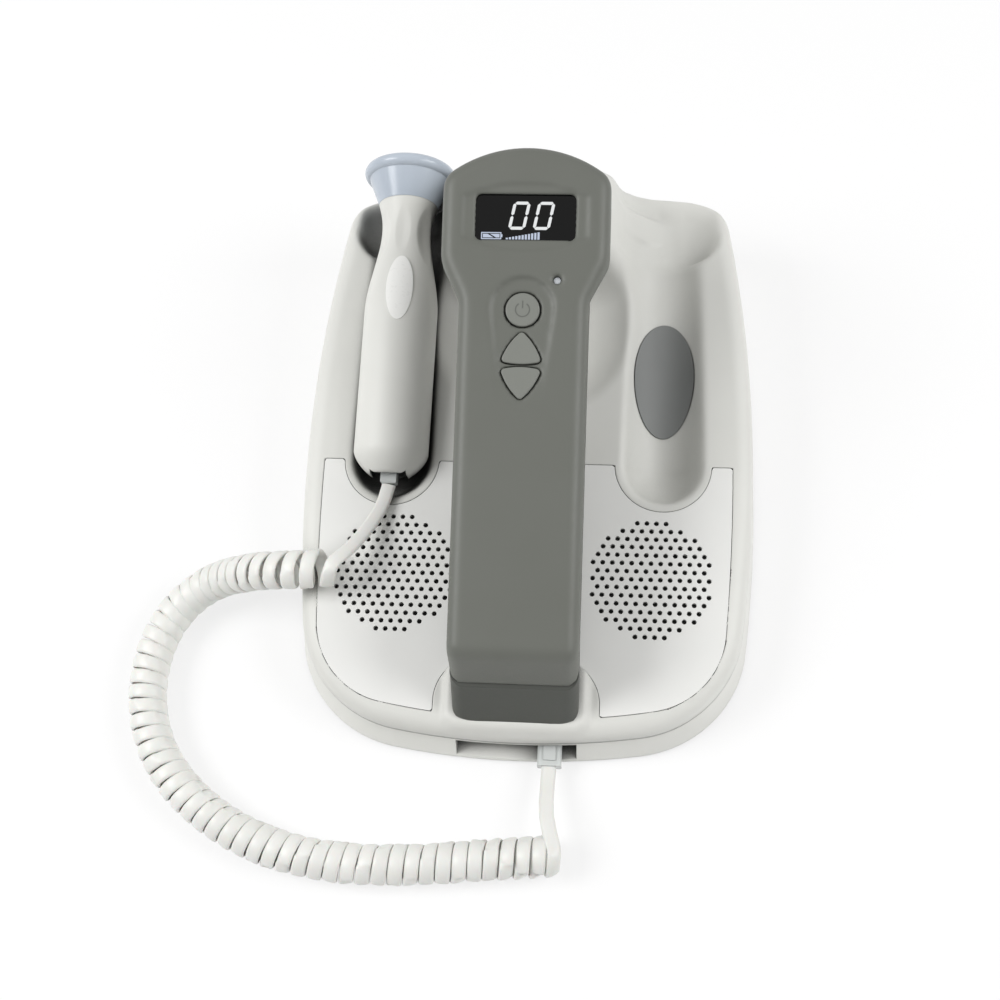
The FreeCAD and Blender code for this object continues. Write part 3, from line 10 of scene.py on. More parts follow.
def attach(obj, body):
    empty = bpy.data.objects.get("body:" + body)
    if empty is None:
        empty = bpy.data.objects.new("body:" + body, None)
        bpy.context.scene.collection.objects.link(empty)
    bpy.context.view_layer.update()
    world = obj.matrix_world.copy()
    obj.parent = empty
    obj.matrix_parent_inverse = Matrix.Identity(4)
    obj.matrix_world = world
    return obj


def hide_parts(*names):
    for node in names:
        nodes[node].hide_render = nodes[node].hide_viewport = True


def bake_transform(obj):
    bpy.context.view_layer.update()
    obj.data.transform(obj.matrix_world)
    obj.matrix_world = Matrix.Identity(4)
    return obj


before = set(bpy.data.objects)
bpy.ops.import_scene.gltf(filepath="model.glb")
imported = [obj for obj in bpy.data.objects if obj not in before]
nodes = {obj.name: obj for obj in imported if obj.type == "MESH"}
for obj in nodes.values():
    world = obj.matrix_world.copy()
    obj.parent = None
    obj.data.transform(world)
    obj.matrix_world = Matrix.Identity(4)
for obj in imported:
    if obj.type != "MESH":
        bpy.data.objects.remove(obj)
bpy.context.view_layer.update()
print("frame loaded:", len(nodes), "nodes")

mm = 0.001
deck = {"slope": 7.0, "height": 37.0, "shiftY": -65.5}  # degrees, mm, mm
consoleTop = {"slope": 12.4, "height": 55.0}  # against the deck


def placement(slope, height, shiftY=0.0):
    return Matrix.Translation((0, shiftY, height)) @ Matrix.Rotation(math.radians(slope), 4, "X")


deckPlace = placement(deck["slope"], deck["height"], deck["shiftY"])
consolePlace = deckPlace @ placement(consoleTop["slope"], consoleTop["height"])


def turned(points, place):
    # mm in a plane's own axes to mm in the scene, or back where the place is inverted
    turn = np.array(place)
    return np.asarray(points, float) @ turn[:3, :3].T + turn[:3, 3]


def toWorld(points, place):
    # mm in a sloping plane's own axes to metres in the scene
    return turned(points, place) * mm


def meshPoints(mesh):
    return np.array([v.co[:] for v in mesh.vertices]) / mm


def setPoints(mesh, points):
    mesh.vertices.foreach_set("co", points.ravel())
    mesh.update()


def hexColour(text):
    channels = [int(text[i:i + 2], 16) / 255 for i in (1, 3, 5)]
    linear = [c / 12.92 if c <= 0.04045 else ((c + 0.055) / 1.055) ** 2.4 for c in channels]
    return (*linear, 1.0)


def addNode(tree, kind, settings=None, links=None):
    # a key is a socket's name or number, or else a property of the node
    node = tree.nodes.new(kind)
    for key, value in (settings or {}).items():
        if isinstance(key, int) or key in node.inputs:
            node.inputs[key].default_value = value
        else:
            setattr(node, key, value)
    for key, socket in (links or {}).items():
        tree.links.new(socket, node.inputs[key])
    return node


def newMaterial(name):
    material = bpy.data.materials.new(name)
    material.use_nodes = True
    tree = material.node_tree
    tree.nodes.clear()
    return material, tree


surface = {
    "cloud": 30.0, "relief": 0.05,  # mm across a cloud, mm deep a grain
    "spread": 0.05, "bump": 0.15,  # these hold unless a finish has its own
    "grainRange": (0.3, 0.7), "closed": 0.12, "samples": 6,
}


def grained(name, finish):
    # Moulded or rolled surface: a fine grain in bump and gloss, a faint cloudiness in colour, and, where a
    # finish asks for it, painted shade that darkens the colour in its recesses.
    # A finish gives its grain in mm, coarser than the real one, which is too fine to show.
    look = surface | finish
    low, high = look["grainRange"]
    material, tree = newMaterial(name)
    place = addNode(tree, "ShaderNodeTexCoord").outputs["Object"]
    grain = addNode(tree, "ShaderNodeTexNoise",
                    {"Scale": 1 / (look["grain"] * mm), "Detail": 3.0, "Roughness": 0.6}, {"Vector": place})
    cloud = addNode(tree, "ShaderNodeTexNoise",
                    {"Scale": 1 / (look["cloud"] * mm), "Detail": 4.0}, {"Vector": place})
    tint = addNode(tree, "ShaderNodeMix",
                   {"data_type": "RGBA", 6: hexColour(look["colour"]), 7: hexColour(look["shade"])},
                   {0: cloud.outputs["Fac"]})
    gloss = addNode(tree, "ShaderNodeMapRange",
                    {"From Min": low, "From Max": high, "To Min": look["rough"] - look["spread"],
                     "To Max": look["rough"] + look["spread"]}, {"Value": grain.outputs["Fac"]})
    bump = addNode(tree, "ShaderNodeBump", {"Strength": look["bump"], "Distance": look["relief"] * mm},
                   {"Height": grain.outputs["Fac"]})
    if "round" in look:  # moulded edges are never knife sharp
        edge = addNode(tree, "ShaderNodeBevel", {"samples": look["samples"], "Radius": look["round"] * mm})
        tree.links.new(edge.outputs["Normal"], bump.inputs["Normal"])
    colour = tint.outputs[2]
    if "hollow" in look:  # painted shade: ambient occlusion darkens the colour in recesses
        reach, depth, clear = look["hollow"]  # mm, share lost, openness that loses nothing
        openness = addNode(tree, "ShaderNodeAmbientOcclusion",
                           {"samples": look["samples"], "Distance": reach * mm})
        fade = addNode(tree, "ShaderNodeMapRange",
                       {"interpolation_type": "SMOOTHSTEP", "From Min": look["closed"], "From Max": clear,
                        "To Min": 1 - depth, "To Max": 1.0}, {"Value": openness.outputs["AO"]})
        colour = addNode(tree, "ShaderNodeVectorMath", {"operation": "SCALE"},
                         {0: colour, "Scale": fade.outputs["Result"]}).outputs["Vector"]
    shader = addNode(tree, "ShaderNodeBsdfPrincipled", look.get("shader"),
                     {"Base Color": colour, "Roughness": gloss.outputs["Result"],
                      "Normal": bump.outputs["Normal"]})
    addNode(tree, "ShaderNodeOutputMaterial", None, {"Surface": shader.outputs["BSDF"]})
    return material


shot = {
    "place": (41.39, -305.50, 654.77),  # mm
    "right": (0.9965, 0.0569, -0.0609), "ahead": (-0.0790, 0.4099, -0.9087),
    "lens": 50.94, "sensor": 36.0,
}


def newObject(name, data):
    made = bpy.data.objects.new(name, data)
    bpy.context.collection.objects.link(made)
    return made


def makeCamera():
    ahead = Vector(shot["ahead"]).normalized()
    right = Vector(shot["right"])
    right = (right - ahead * right.dot(ahead)).normalized()
    up = right.cross(ahead)
    data = bpy.data.cameras.new("camera")
    data.lens = shot["lens"]
    data.sensor_width = shot["sensor"]
    camera = newObject("camera", data)
    turn = Matrix((right, up, -ahead)).transposed().to_4x4()
    camera.matrix_world = Matrix.Translation(Vector(shot["place"]) * mm) @ turn
    bpy.context.scene.camera = camera


makeCamera()
print("camera placed")


cordSizes = {
    "width": 6.8, "thick": 2.4, "coilRadius": 7.95, "turns": 52, "pointsPerTurn": 24,
    "pitch": 7.0, "openPitch": 9.0, "openTurns": 3.0,  # the turns stand apart next to the probe
    "leadIn": 2.2, "leadTurns": 0.16,  # and the first one leads in along the tail
    "sectionPoints": 12, "sectionPower": 2.6, "coilSteps": 24, "cordSteps": 2, "crease": 60,
    "stays": (-95.0, -17.0, 50.0), "lifts": (-66.0, 38.0, 45.0),  # points on the tail's way with the probe in place and with the probe lifted
    "probeTail": [(-65.44, 41.5, 44.8), (-66.6, 34.0, 43.8), (-71.4, 21.0, 45.4), (-79.5, 5.0, 52.0)],
    "coil": [(-86.0, -2.8, 47.7), (-104.5, -4.8, 48.2), (-124.0, -3.0, 40.5), (-143.0, 0.0, 24.5),
             (-157.5, -2.5, 14.6), (-169.5, -12.0, 10.3), (-177.0, -27.5, 9.5), (-179.5, -47.0, 9.5),
             (-176.0, -70.0, 9.5), (-164.0, -92.0, 9.5), (-143.0, -111.0, 9.5), (-115.0, -125.0, 9.5),
             (-82.0, -131.5, 9.5), (-47.0, -131.0, 9.5), (-12.0, -127.0, 9.5), (20.0, -123.2, 9.5)],
    "baseTail": [(15.1, -107.0, 15.2), (15.3, -93.5, 10.5), (15.7, -80.2, 8.2), (15.7, -71.2, 8.2)],
}


def routePoints(points, resolution):
    # the smooth line of an order 3 NURBS spline through the given control points, in mm
    curve = bpy.data.curves.new("route", "CURVE")
    curve.dimensions = "3D"
    spline = curve.splines.new("NURBS")
    spline.points.add(len(points) - 1)
    for point, place in zip(spline.points, points):
        point.co = (*[c * mm for c in place], 1.0)
    spline.order_u = 3
    spline.use_endpoint_u = True
    spline.resolution_u = resolution
    holder = newObject("route", curve)
    mesh = bpy.data.meshes.new_from_object(holder)
    line = meshPoints(mesh)
    bpy.data.objects.remove(holder)
    bpy.data.curves.remove(curve)
    bpy.data.meshes.remove(mesh)
    return line


def lengthsAlong(line):
    return np.concatenate([[0], np.cumsum(np.linalg.norm(np.diff(line, axis=0), axis=1))])


def unit(rows):
    return rows / np.linalg.norm(rows, axis=-1, keepdims=True)


def helixPoints(line):
    # turns wound about the coil's line, starting and ending at its top
    sizes = cordSizes
    along = lengthsAlong(line)
    count = sizes["turns"] * sizes["pointsPerTurn"]
    turn = np.linspace(0, sizes["turns"], count + 1)
    spread = 1 + (sizes["openPitch"] / sizes["pitch"] - 1) * np.exp(-turn / sizes["openTurns"])
    spread += sizes["leadIn"] * np.exp(-turn / sizes["leadTurns"])
    travel = np.concatenate([[0], np.cumsum((spread[1:] + spread[:-1]) / 2)])
    travel *= along[-1] / travel[-1]
    centre = np.stack([np.interp(travel, along, line[:, i]) for i in range(3)], axis=1)
    tangent = unit(np.gradient(centre, axis=0))
    up = unit(np.array([0.0, 0.0, 1.0]) - tangent * tangent[:, 2:3])
    side = np.cross(tangent, up)
    angle = -2 * np.pi * turn
    radial = np.cos(angle)[:, None] * up + np.sin(angle)[:, None] * side
    return centre + radial * sizes["coilRadius"]


def gridFaces(rows, columns):
    # the faces between closed rings of points, ring after ring
    faces = []
    for row in range(rows - 1):
        for i in range(columns):
            a, b = row * columns + i, row * columns + (i + 1) % columns
            faces.append((a, b, b + columns, a + columns))
    return faces


def sweepTape(line, outward):
    # an oval section carried along the line, its thin way along outward
    sizes = cordSizes
    tangent = unit(np.gradient(line, axis=0))
    thin = unit(outward - tangent * np.sum(outward * tangent, axis=1, keepdims=True))
    wide = np.cross(tangent, thin)
    angles = np.linspace(0, 2 * np.pi, sizes["sectionPoints"], endpoint=False)
    power = 2 / sizes["sectionPower"]
    across = np.sign(np.cos(angles)) * np.abs(np.cos(angles)) ** power * sizes["width"] / 2
    through = np.sign(np.sin(angles)) * np.abs(np.sin(angles)) ** power * sizes["thick"] / 2
    rings = (line[:, None, :] + wide[:, None, :] * across[None, :, None]
             + thin[:, None, :] * through[None, :, None])
    size = len(angles)
    vertices = rings.reshape(-1, 3)
    faces = gridFaces(len(line), size)
    faces.append(tuple(reversed(range(size))))
    faces.append(tuple(range(len(vertices) - size, len(vertices))))
    return vertices, faces


def shiftPoints(points):
    return [(x, y + deck["shiftY"], z) for x, y, z in points]


def meshPiece(name, vertices, faces, material, scale=1.0, crease=40):
    # edges that turn by more than the crease, in degrees, stay sharp
    mesh = bpy.data.meshes.new(name)
    mesh.from_pydata([tuple(v) for v in np.asarray(vertices) * scale], [], [tuple(f) for f in faces])
    mesh.update()
    piece = newObject(name, mesh)
    mesh.materials.append(material)
    mesh.shade_smooth()
    mesh.set_sharp_from_angle(angle=math.radians(crease))
    return piece


def applied(piece):
    graph = bpy.context.evaluated_depsgraph_get()
    piece.data = bpy.data.meshes.new_from_object(piece.evaluated_get(graph))
    piece.modifiers.clear()


def makeCord():
    steps = cordSizes["cordSteps"]
    coilLine = routePoints(shiftPoints(cordSizes["coil"]), cordSizes["coilSteps"])
    controls = np.concatenate([shiftPoints(cordSizes["probeTail"]), helixPoints(coilLine),
                               shiftPoints(cordSizes["baseTail"])])
    line = routePoints([tuple(p) for p in controls], steps)
    # outward is up along the tails and away from the coil's line within it
    outward = np.tile([0.0, 0.0, 1.0], (len(line), 1))
    coarse = coilLine[::3]  # near enough to find the nearest place
    nearest = coarse[np.argmin(np.linalg.norm(line[:, None, :] - coarse[None], axis=2), axis=1)]
    inCoil = slice(len(cordSizes["probeTail"]) * steps, -len(cordSizes["baseTail"]) * steps)
    outward[inCoil] = unit(line - nearest)[inCoil]
    vertices, faces = sweepTape(line, outward)
    # off-white PVC jacket, extruded and heat-set: a soft even gloss with a waxy depth
    jacket = grained("extrudedPvcJacket", {
        "colour": "#ebebe7", "shade": "#e2e2dd", "grain": 1.2, "cloud": 14, "rough": 0.42, "bump": 0.05,
        "shader": {"IOR": 1.53, "Subsurface Weight": 0.08, "Subsurface Scale": 0.0015}})
    piece = meshPiece("curly_cord", vertices, faces, jacket, mm, cordSizes["crease"])
    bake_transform(piece)
    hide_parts("cord_probe_tail", "cord_coil", "cord_base_tail")


makeCord()


finishes = {
    # light grey ABS from a spark-eroded mould: matte, with soft broad highlights and painted shade in its
    # recesses
    "sparkTexturedLightAbs": {
        "pieces": ["top_housing", "probe_upper_shell", "probe_lower_shell"],
        "colour": "#e1e1dc", "shade": "#dadad5", "grain": 0.9, "rough": 0.52, "bump": 0.12,
        "round": 1.0, "hollow": (36, 0.97, 0.78), "shader": {"IOR": 1.54}},
    # warm dark grey ABS from the same kind of mould: a dull sheen along its rolled edges, and painted shade
    # in its recesses
    "sparkTexturedDarkAbs": {
        "pieces": ["console_cover"],
        "colour": "#696b65", "shade": "#64665f", "grain": 0.9, "rough": 0.5, "bump": 0.14,
        "round": 1.6, "hollow": (12, 0.3, 0.7), "shader": {"IOR": 1.54}},
    # the ABS of the part under the console's cover, painted darker than the cover to stand in for the shade
    # at the console's foot; near matte, so the cover's seam reads
    "sparkTexturedUndersideAbsPaintedShade": {
        "pieces": ["console_base"],
        "colour": "#4d4f4a", "shade": "#484a45", "grain": 0.9, "rough": 0.52, "bump": 0.14, "round": 0.8,
        "shader": {"IOR": 1.54}},
    # the skirt's ABS, painted a little paler as painted light so that it keeps its tone where it turns down
    # to the table, and with painted shade in its recesses
    "sparkTexturedSkirtAbsPaintedLight": {
        "pieces": ["bottom_housing", "battery_cover"],
        "colour": "#e6e6e1", "shade": "#dfdfda", "grain": 0.9, "rough": 0.5, "bump": 0.1, "round": 0.8,
        "hollow": (16, 0.95, 0.75)},
    # pale ABS from a satin-polished mould: smoother and whiter than the housing around it, with painted shade
    # down the walls of its holes
    "satinMouldedPaleAbs": {
        "pieces": ["right_speaker_panel", "left_speaker_panel"],
        "colour": "#f0f0ed", "shade": "#e9e9e6", "grain": 0.8, "rough": 0.45, "bump": 0.08, "round": 0.35,
        "hollow": (2.2, 0.97, 0.8)},
    # satin ABS keys: a shade lighter than the cover, with a thin bright rim where the edge rolls over
    "satinMouldedKeycapAbs": {
        "pieces": ["power_button", "volume_up_button", "volume_down_button"],
        "colour": "#80827c", "shade": "#7a7c76", "grain": 0.7, "rough": 0.48, "bump": 0.1, "round": 0.7},
    # moulded elastomer pad: dull and soft, it takes no sharp highlight, with painted shade where its
    # surroundings close in
    "matteMouldedElastomer": {
        "pieces": ["right_cradle_pad", "left_cradle_pad"],
        "colour": "#8b8d8c", "shade": "#838584", "grain": 0.6, "rough": 0.62, "bump": 0.2, "round": 0.5,
        "hollow": (22, 0.3, 0.8)},
    # elastomer cap from a polished mould: a pale blue that looks wet, with light along its flare, and painted
    # shade where it is closed in
    "glossyMouldedElastomer": {
        "pieces": ["probe_cap"],
        "colour": "#bcc4ce", "shade": "#b0bac6", "grain": 2.5, "rough": 0.2, "bump": 0.03,
        "round": 0.8, "hollow": (24, 0.55, 0.8), "shader": {"IOR": 1.45}},
    # clear polycarbonate plugs from a polished mould: milky, with bright edges
    "clearMouldedPolycarbonate": {
        "pieces": ["probe_plug", "base_plug"],
        "colour": "#eef1ef", "shade": "#e2e7e5", "grain": 3.0, "rough": 0.14, "bump": 0.03, "round": 0.3,
        "shader": {"Transmission Weight": 0.3, "IOR": 1.58}},
    # polished smoked acrylic with a thin anti-glare coat: near black, with a faint clean reflection
    "polishedSmokedAcrylic": {
        "pieces": ["display_lens"],
        "colour": "#121315", "shade": "#0f1011", "grain": 4.0, "rough": 0.06, "spread": 0.02, "bump": 0.01,
        "shader": {"Transmission Weight": 1.0, "IOR": 1.49, "Specular IOR Level": 0.25}},
    # glass-filled nylon: black with a slight dry sheen
    "mouldedBlackNylon": {
        "pieces": ["front_jack", "probe_jack", "charger_inlet", "display_module"],
        "colour": "#1c1c1d", "shade": "#232324", "grain": 0.8, "rough": 0.45, "bump": 0.1},
    # vulcanised rubber feet: dark, dull and slightly rough
    "mouldedDarkRubber": {
        "pieces": ["rubber_feet"],
        "colour": "#38393a", "shade": "#303132", "grain": 0.7, "rough": 0.8, "bump": 0.25},
    # glass-fibre board under solder mask: deep green with an even low gloss
    "solderMaskedBoard": {
        "pieces": ["main_board", "jack_board", "console_board", "probe_board"],
        "colour": "#1d6a40", "shade": "#1a5c38", "grain": 0.7, "rough": 0.35, "bump": 0.1},
    # transfer-moulded epoxy: charcoal and finely sandy
    "mouldedChipEpoxy": {
        "pieces": ["board_components", "key_switches"],
        "colour": "#262626", "shade": "#1f1f20", "grain": 0.5, "rough": 0.6, "bump": 0.15},
    # zinc-plated steel screws: a cool grey metal with a slightly smeared shine
    "zincPlatedSteel": {
        "pieces": ["housing_screws", "board_screws", "console_screws"],
        "colour": "#c4c7c9", "shade": "#b2b6b9", "grain": 0.5, "rough": 0.32, "bump": 0.1,
        "shader": {"Metallic": 1.0}},
    # shrink sleeve over the cells: smooth blue-grey film with long soft highlights
    "shrinkSleevedCell": {
        "pieces": ["battery_pack"],
        "colour": "#7d8893", "shade": "#727d88", "grain": 2.0, "rough": 0.3, "bump": 0.05},
    # stoved black paint on pressed steel: semi-gloss with a light orange peel
    "blackPaintedSteel": {
        "pieces": ["right_speaker_frame", "left_speaker_frame"],
        "colour": "#2a2a2b", "shade": "#242425", "grain": 1.0, "rough": 0.4, "bump": 0.1},
    # pressed paper cone: black and fibrous, so the grille's holes look empty
    "pressedPaperCone": {
        "pieces": ["right_speaker_cone", "left_speaker_cone"],
        "colour": "#1d1c1b", "shade": "#161515", "grain": 0.4, "rough": 0.85, "bump": 0.35},
    # closed-cell foam ring: black, porous and without shine
    "closedCellFoam": {
        "pieces": ["right_speaker_gasket", "left_speaker_gasket"],
        "colour": "#2c2c2c", "shade": "#222222", "grain": 0.6, "rough": 0.9, "bump": 0.4},
    # moulded silicone sheet: pale grey, soft and slightly greasy
    "mouldedSiliconeSheet": {
        "pieces": ["dome_sheet"],
        "colour": "#c9c9c4", "shade": "#bdbdb8", "grain": 1.5, "rough": 0.55, "bump": 0.08},
    # white polyester film: flatter and brighter than the shell it is stuck to
    "whitePolyesterFilm": {
        "pieces": ["probe_label"],
        "colour": "#fbfbf8", "shade": "#f4f4f1", "grain": 2.0, "rough": 0.3, "bump": 0.03},
    # fired ceramic with silvered faces: warm grey, half dull
    "silveredCeramic": {
        "pieces": ["probe_crystals"],
        "colour": "#cfc9b8", "shade": "#c2bcab", "grain": 0.8, "rough": 0.4, "bump": 0.1},
    # cast resin filled with powder: brown-black and chalky
    "castDampingResin": {
        "pieces": ["probe_backing"],
        "colour": "#3b3936", "shade": "#322f2d", "grain": 0.5, "rough": 0.7, "bump": 0.2},
    # polished clear light pipe: a white dot that catches the light
    "polishedLightPipe": {
        "pieces": ["lamp_pipe"],
        "colour": "#f4f7fb", "shade": "#eaf0f6", "grain": 3.0, "rough": 0.15, "bump": 0.02,
        "shader": {"Transmission Weight": 0.15, "IOR": 1.49}},
}
looks = {}
for finishName, finish in finishes.items():
    looks[finishName] = grained(finishName, finish)
    for name in finish["pieces"]:
        nodes[name].data.materials.clear()
        nodes[name].data.materials.append(looks[finishName])
print("CAD pieces dressed")


housing = {
    "grid": 1.5, "ringStep": 1.6, "seamStep": 1.2, "wall": 2.2, "crease": 50,  # mm, and degrees
    "rimDepth": 13.0, "wallDraft": 0.6, "rimRound": 8.0, "rimSlack": 0.6, "rimPoints": 9,
    "footSlack": 0.05, "rimGap": 0.7, "seamGap": 1.1,  # the grid keeps these two gaps to rim and seams
    "leastRim": 0.1,  # of the rim's round, left where the surface is low
    "search": (-26.0, 60.0), "halvings": 26,  # heights that the surface can have
    "bowl": {"y": 128.0, "radius": 48.5, "depth": 15.0, "blend": 1.8},
    "column": {
        # height, half width, front and rear of the column under the console's head
        "rows": [(-30, 92, 128, 206), (-8, 64, 146, 205.5), (0, 53, 150, 205.5), (8, 45.5, 153, 205),
                 (21, 38, 156, 203), (40, 32, 157, 192), (64, 30, 157, 173), (90, 29, 157, 150)],
        "smoothing": 9, "below": 33.8, "corner": 10, "lean": 0.8, "blend": 7.0,
    },
    "trough": {"x": 65.2, "front": 56.0, "rear": 175.0, "radius": 18.9, "height": 3.6, "tilt": 3.7,
               "blend": 3.2},
    "pocket": {
        "floor": -11.2, "outer": 94.0, "round": 20.0, "sharp": 0.6, "steep": 6,
        "low": 71.2, "bank": (44.5, 8.0), "power": 2, "steepPower": 4,
        "front": 165.5, "curve": (80.0, 0.085),  # where the front wall starts to bend, how fast
        "lean": 0.8, "corner": 4, "blend": 4.0,
    },
    "notch": {"start": 192.0, "radius": 24.3, "lowest": -11.6, "corner": 4, "blend": 4.0},
    "seat": {"half": 33.0, "front": -73.0, "rear": -38.0, "lip": 2.4, "corner": 8, "round": 2.6,
             "blend": 1.6},
    "seam": 0.24, "seamFoot": 0.05, "seamDepth": 3.2,
}
panels = {"right_speaker_panel": 1, "left_speaker_panel": -1}  # each with its side


def softMax(a, b, reach):
    near = np.maximum(reach - np.abs(a - b), 0) / reach
    return np.maximum(a, b) + near * near * reach / 4


def softMin(a, b, reach):
    return -softMax(-a, -b, reach)


def columnTables():
    spec = housing["column"]
    rows = np.array(spec["rows"], float)
    heights = np.arange(rows[0, 0], rows[-1, 0] + 0.1)
    kernel = np.ones(spec["smoothing"]) / spec["smoothing"]
    tables = []
    for i in (1, 2, 3):
        values = np.pad(np.interp(heights, rows[:, 0], rows[:, i]), spec["smoothing"] // 2, mode="edge")
        tables.append(np.convolve(values, kernel, mode="valid"))
    return heights, tables


columnHeights, columnShape = columnTables()


def axisHeight(v):
    # the cradles' axis above the deck plane
    trough = housing["trough"]
    return trough["height"] + (v - trough["front"]) * math.tan(math.radians(trough["tilt"]))


def bowlDish(u, v, z):
    bowl = housing["bowl"]
    ball = (bowl["radius"] ** 2 + bowl["depth"] ** 2) / (2 * bowl["depth"])
    return ball - np.sqrt(u ** 2 + (v - bowl["y"]) ** 2 + (z - ball + bowl["depth"]) ** 2)


def columnSide(u, v, z):
    spec = housing["column"]
    half, front, rear = [np.interp(z, columnHeights, table) for table in columnShape]
    top = consoleTop["height"] + v * math.tan(math.radians(consoleTop["slope"])) - spec["below"]
    around = softMax(softMax(u - half, v - rear, spec["corner"]), front - v, spec["corner"])
    return np.maximum(around * spec["lean"], z - top)


def troughDish(u, v, z):
    trough = housing["trough"]
    along = np.maximum(v, trough["front"])
    lowered = np.minimum(z - axisHeight(along), 0)  # the walls stand straight above the axis
    away = np.sqrt((u - trough["x"]) ** 2 + (v - along) ** 2 + lowered ** 2)
    return np.minimum(trough["radius"] - away, trough["rear"] - v)


def pocketDish(u, v, z):
    # its floor turns up at the outer side and climbs as a bank inwards, faster within the column
    pocket = housing["pocket"]
    radius = pocket["round"]
    beyond = np.clip(u - (pocket["outer"] - radius), 0, radius - pocket["sharp"])
    rise = radius - np.sqrt(radius ** 2 - beyond ** 2)
    rise += np.maximum(u - pocket["outer"] + pocket["sharp"], 0) * pocket["steep"]
    bankX, bankZ = pocket["bank"]
    run, climb = pocket["low"] - bankX, bankZ - pocket["floor"]
    part = np.clip((pocket["low"] - u) / run, 0, 2)
    power = np.where(part > 1, pocket["steepPower"], pocket["power"])
    floor = pocket["floor"] + rise + climb * part ** power
    slope = np.where(u > pocket["low"], beyond / np.sqrt(radius ** 2 - beyond ** 2),
                     power * climb / run * part ** (power - 1))
    dish = (z - floor) / np.sqrt(1 + slope ** 2)
    bendsAt, bend = pocket["curve"]
    front = pocket["front"] + bend * np.maximum(u - bendsAt, 0) ** 2
    return softMin(dish, (v - front) * pocket["lean"], pocket["corner"])


def notchDish(u, v, z):
    # where the pocket runs out through the rear wall
    notch = housing["notch"]
    away = np.sqrt((u - housing["trough"]["x"]) ** 2 + np.minimum(z - axisHeight(v), 0) ** 2)
    return softMin(notch["radius"] - away, v - notch["start"], notch["corner"])


def seatSide(u, v, z):
    seat = housing["seat"]
    middle, reach = (seat["front"] + seat["rear"]) / 2, (seat["rear"] - seat["front"]) / 2
    plan = softMax(u - seat["half"], np.abs(v - middle) - reach, seat["corner"])
    return softMax(z - seat["lip"], plan, seat["round"])


def outsideHousing(u, v, z):
    # about the distance outside the housing's top surface, rim apart; the two sides mirror each other
    u = np.abs(u)
    value = softMax(z, bowlDish(u, v, z), housing["bowl"]["blend"])
    value = softMin(value, columnSide(u, v, z), housing["column"]["blend"])
    for name, dish in (("trough", troughDish), ("pocket", pocketDish), ("notch", notchDish)):
        value = softMax(value, dish(u, v, z), housing[name]["blend"])
    return softMin(value, seatSide(u, v, z), housing["seat"]["blend"])


def housingHeights(plan):
    # the top surface's height above the deck plane, found by halving
    low, high = [np.full(len(plan), height) for height in housing["search"]]
    for _ in range(housing["halvings"]):
        middle = (low + high) / 2
        outside = outsideHousing(plan[:, 0], plan[:, 1], middle) > 0
        high = np.where(outside, middle, high)
        low = np.where(outside, low, middle)
    return (low + high) / 2


def deckPoints(name):
    return turned(meshPoints(nodes[name].data), deckPlace.inverted())


def evenLoop(points, step):
    closed = np.vstack([points, points[:1]])
    along = lengthsAlong(closed)
    places = np.linspace(0, along[-1], int(round(along[-1] / step)), endpoint=False)
    return np.stack([np.interp(places, along, closed[:, i]) for i in range(2)], axis=1)


def offsetLoop(loop, inwards):
    # a loop that runs anticlockwise, moved towards its inside
    along = np.roll(loop, -1, axis=0) - np.roll(loop, 1, axis=0)
    normal = unit(np.stack([-along[:, 1], along[:, 0]], axis=1))
    return loop + normal * inwards


def housingOutline():
    points = deckPoints("top_housing")
    edge = points[points[:, 2] < -housing["rimDepth"] + housing["footSlack"], :2]
    hull = edge[convex_hull_2d([Vector(p) for p in edge])]
    area = np.sum(hull[:, 0] * np.roll(hull[:, 1], -1) - hull[:, 1] * np.roll(hull[:, 0], -1))
    if area < 0:
        hull = hull[::-1]
    return evenLoop(hull, housing["ringStep"])


flat = {"merge": 0.01, "off": 0.02, "upright": 0.999}  # mm, mm, share of a normal that points up


def topFaceLoops(name):
    # closed edge loops of a deck-level plate's top face, longest first, anticlockwise
    source = bmesh.new()
    source.from_mesh(nodes[name].data)
    bmesh.ops.remove_doubles(source, verts=source.verts, dist=flat["merge"] * mm)
    turn = deckPlace.inverted()
    up = (deckPlace.to_3x3() @ Vector((0, 0, 1))).normalized()
    level = {v: turn @ (v.co / mm) for v in source.verts}
    # a dictionary keeps the faces' order, so that a loop starts at the same corner in every run
    top = dict.fromkeys(f for f in source.faces if f.normal.dot(up) > flat["upright"]
                        and all(abs(level[v].z) < flat["off"] for v in f.verts))
    follow = {}
    for face in top:
        for loop in face.loops:
            if sum(f in top for f in loop.edge.link_faces) == 1:
                follow.setdefault(loop.vert, []).append(loop.link_loop_next.vert)
    loops = []
    while follow:
        here, points = next(iter(follow)), []
        while here in follow:
            points.append(level[here].xy[:])
            here = follow.pop(here)[0]
        loops.append(np.array(points))
    source.free()
    return sorted(loops, key=lambda loop: -lengthsAlong(loop)[-1])


def insideLoop(points, loop):
    # whether each point lies inside a closed loop
    x, y = points[:, 0][:, None], points[:, 1][:, None]
    x0, y0 = loop[:, 0][None], loop[:, 1][None]
    x1, y1 = np.roll(loop[:, 0], -1)[None], np.roll(loop[:, 1], -1)[None]
    crosses = ((y0 > y) != (y1 > y)) & (x < (x1 - x0) * (y - y0) / np.where(y1 == y0, 1e-9, y1 - y0) + x0)
    return crosses.sum(axis=1) % 2 == 1


def nearLoop(points, loop):
    # distance from each point to a closed loop
    start, stop = loop[None], np.roll(loop, -1, axis=0)[None]
    run = stop - start
    part = np.sum((points[:, None] - start) * run, axis=2) / np.maximum(np.sum(run * run, axis=2), 1e-9)
    nearest = start + np.clip(part, 0, 1)[..., None] * run
    return np.sqrt(np.min(np.sum((points[:, None] - nearest) ** 2, axis=2), axis=1))


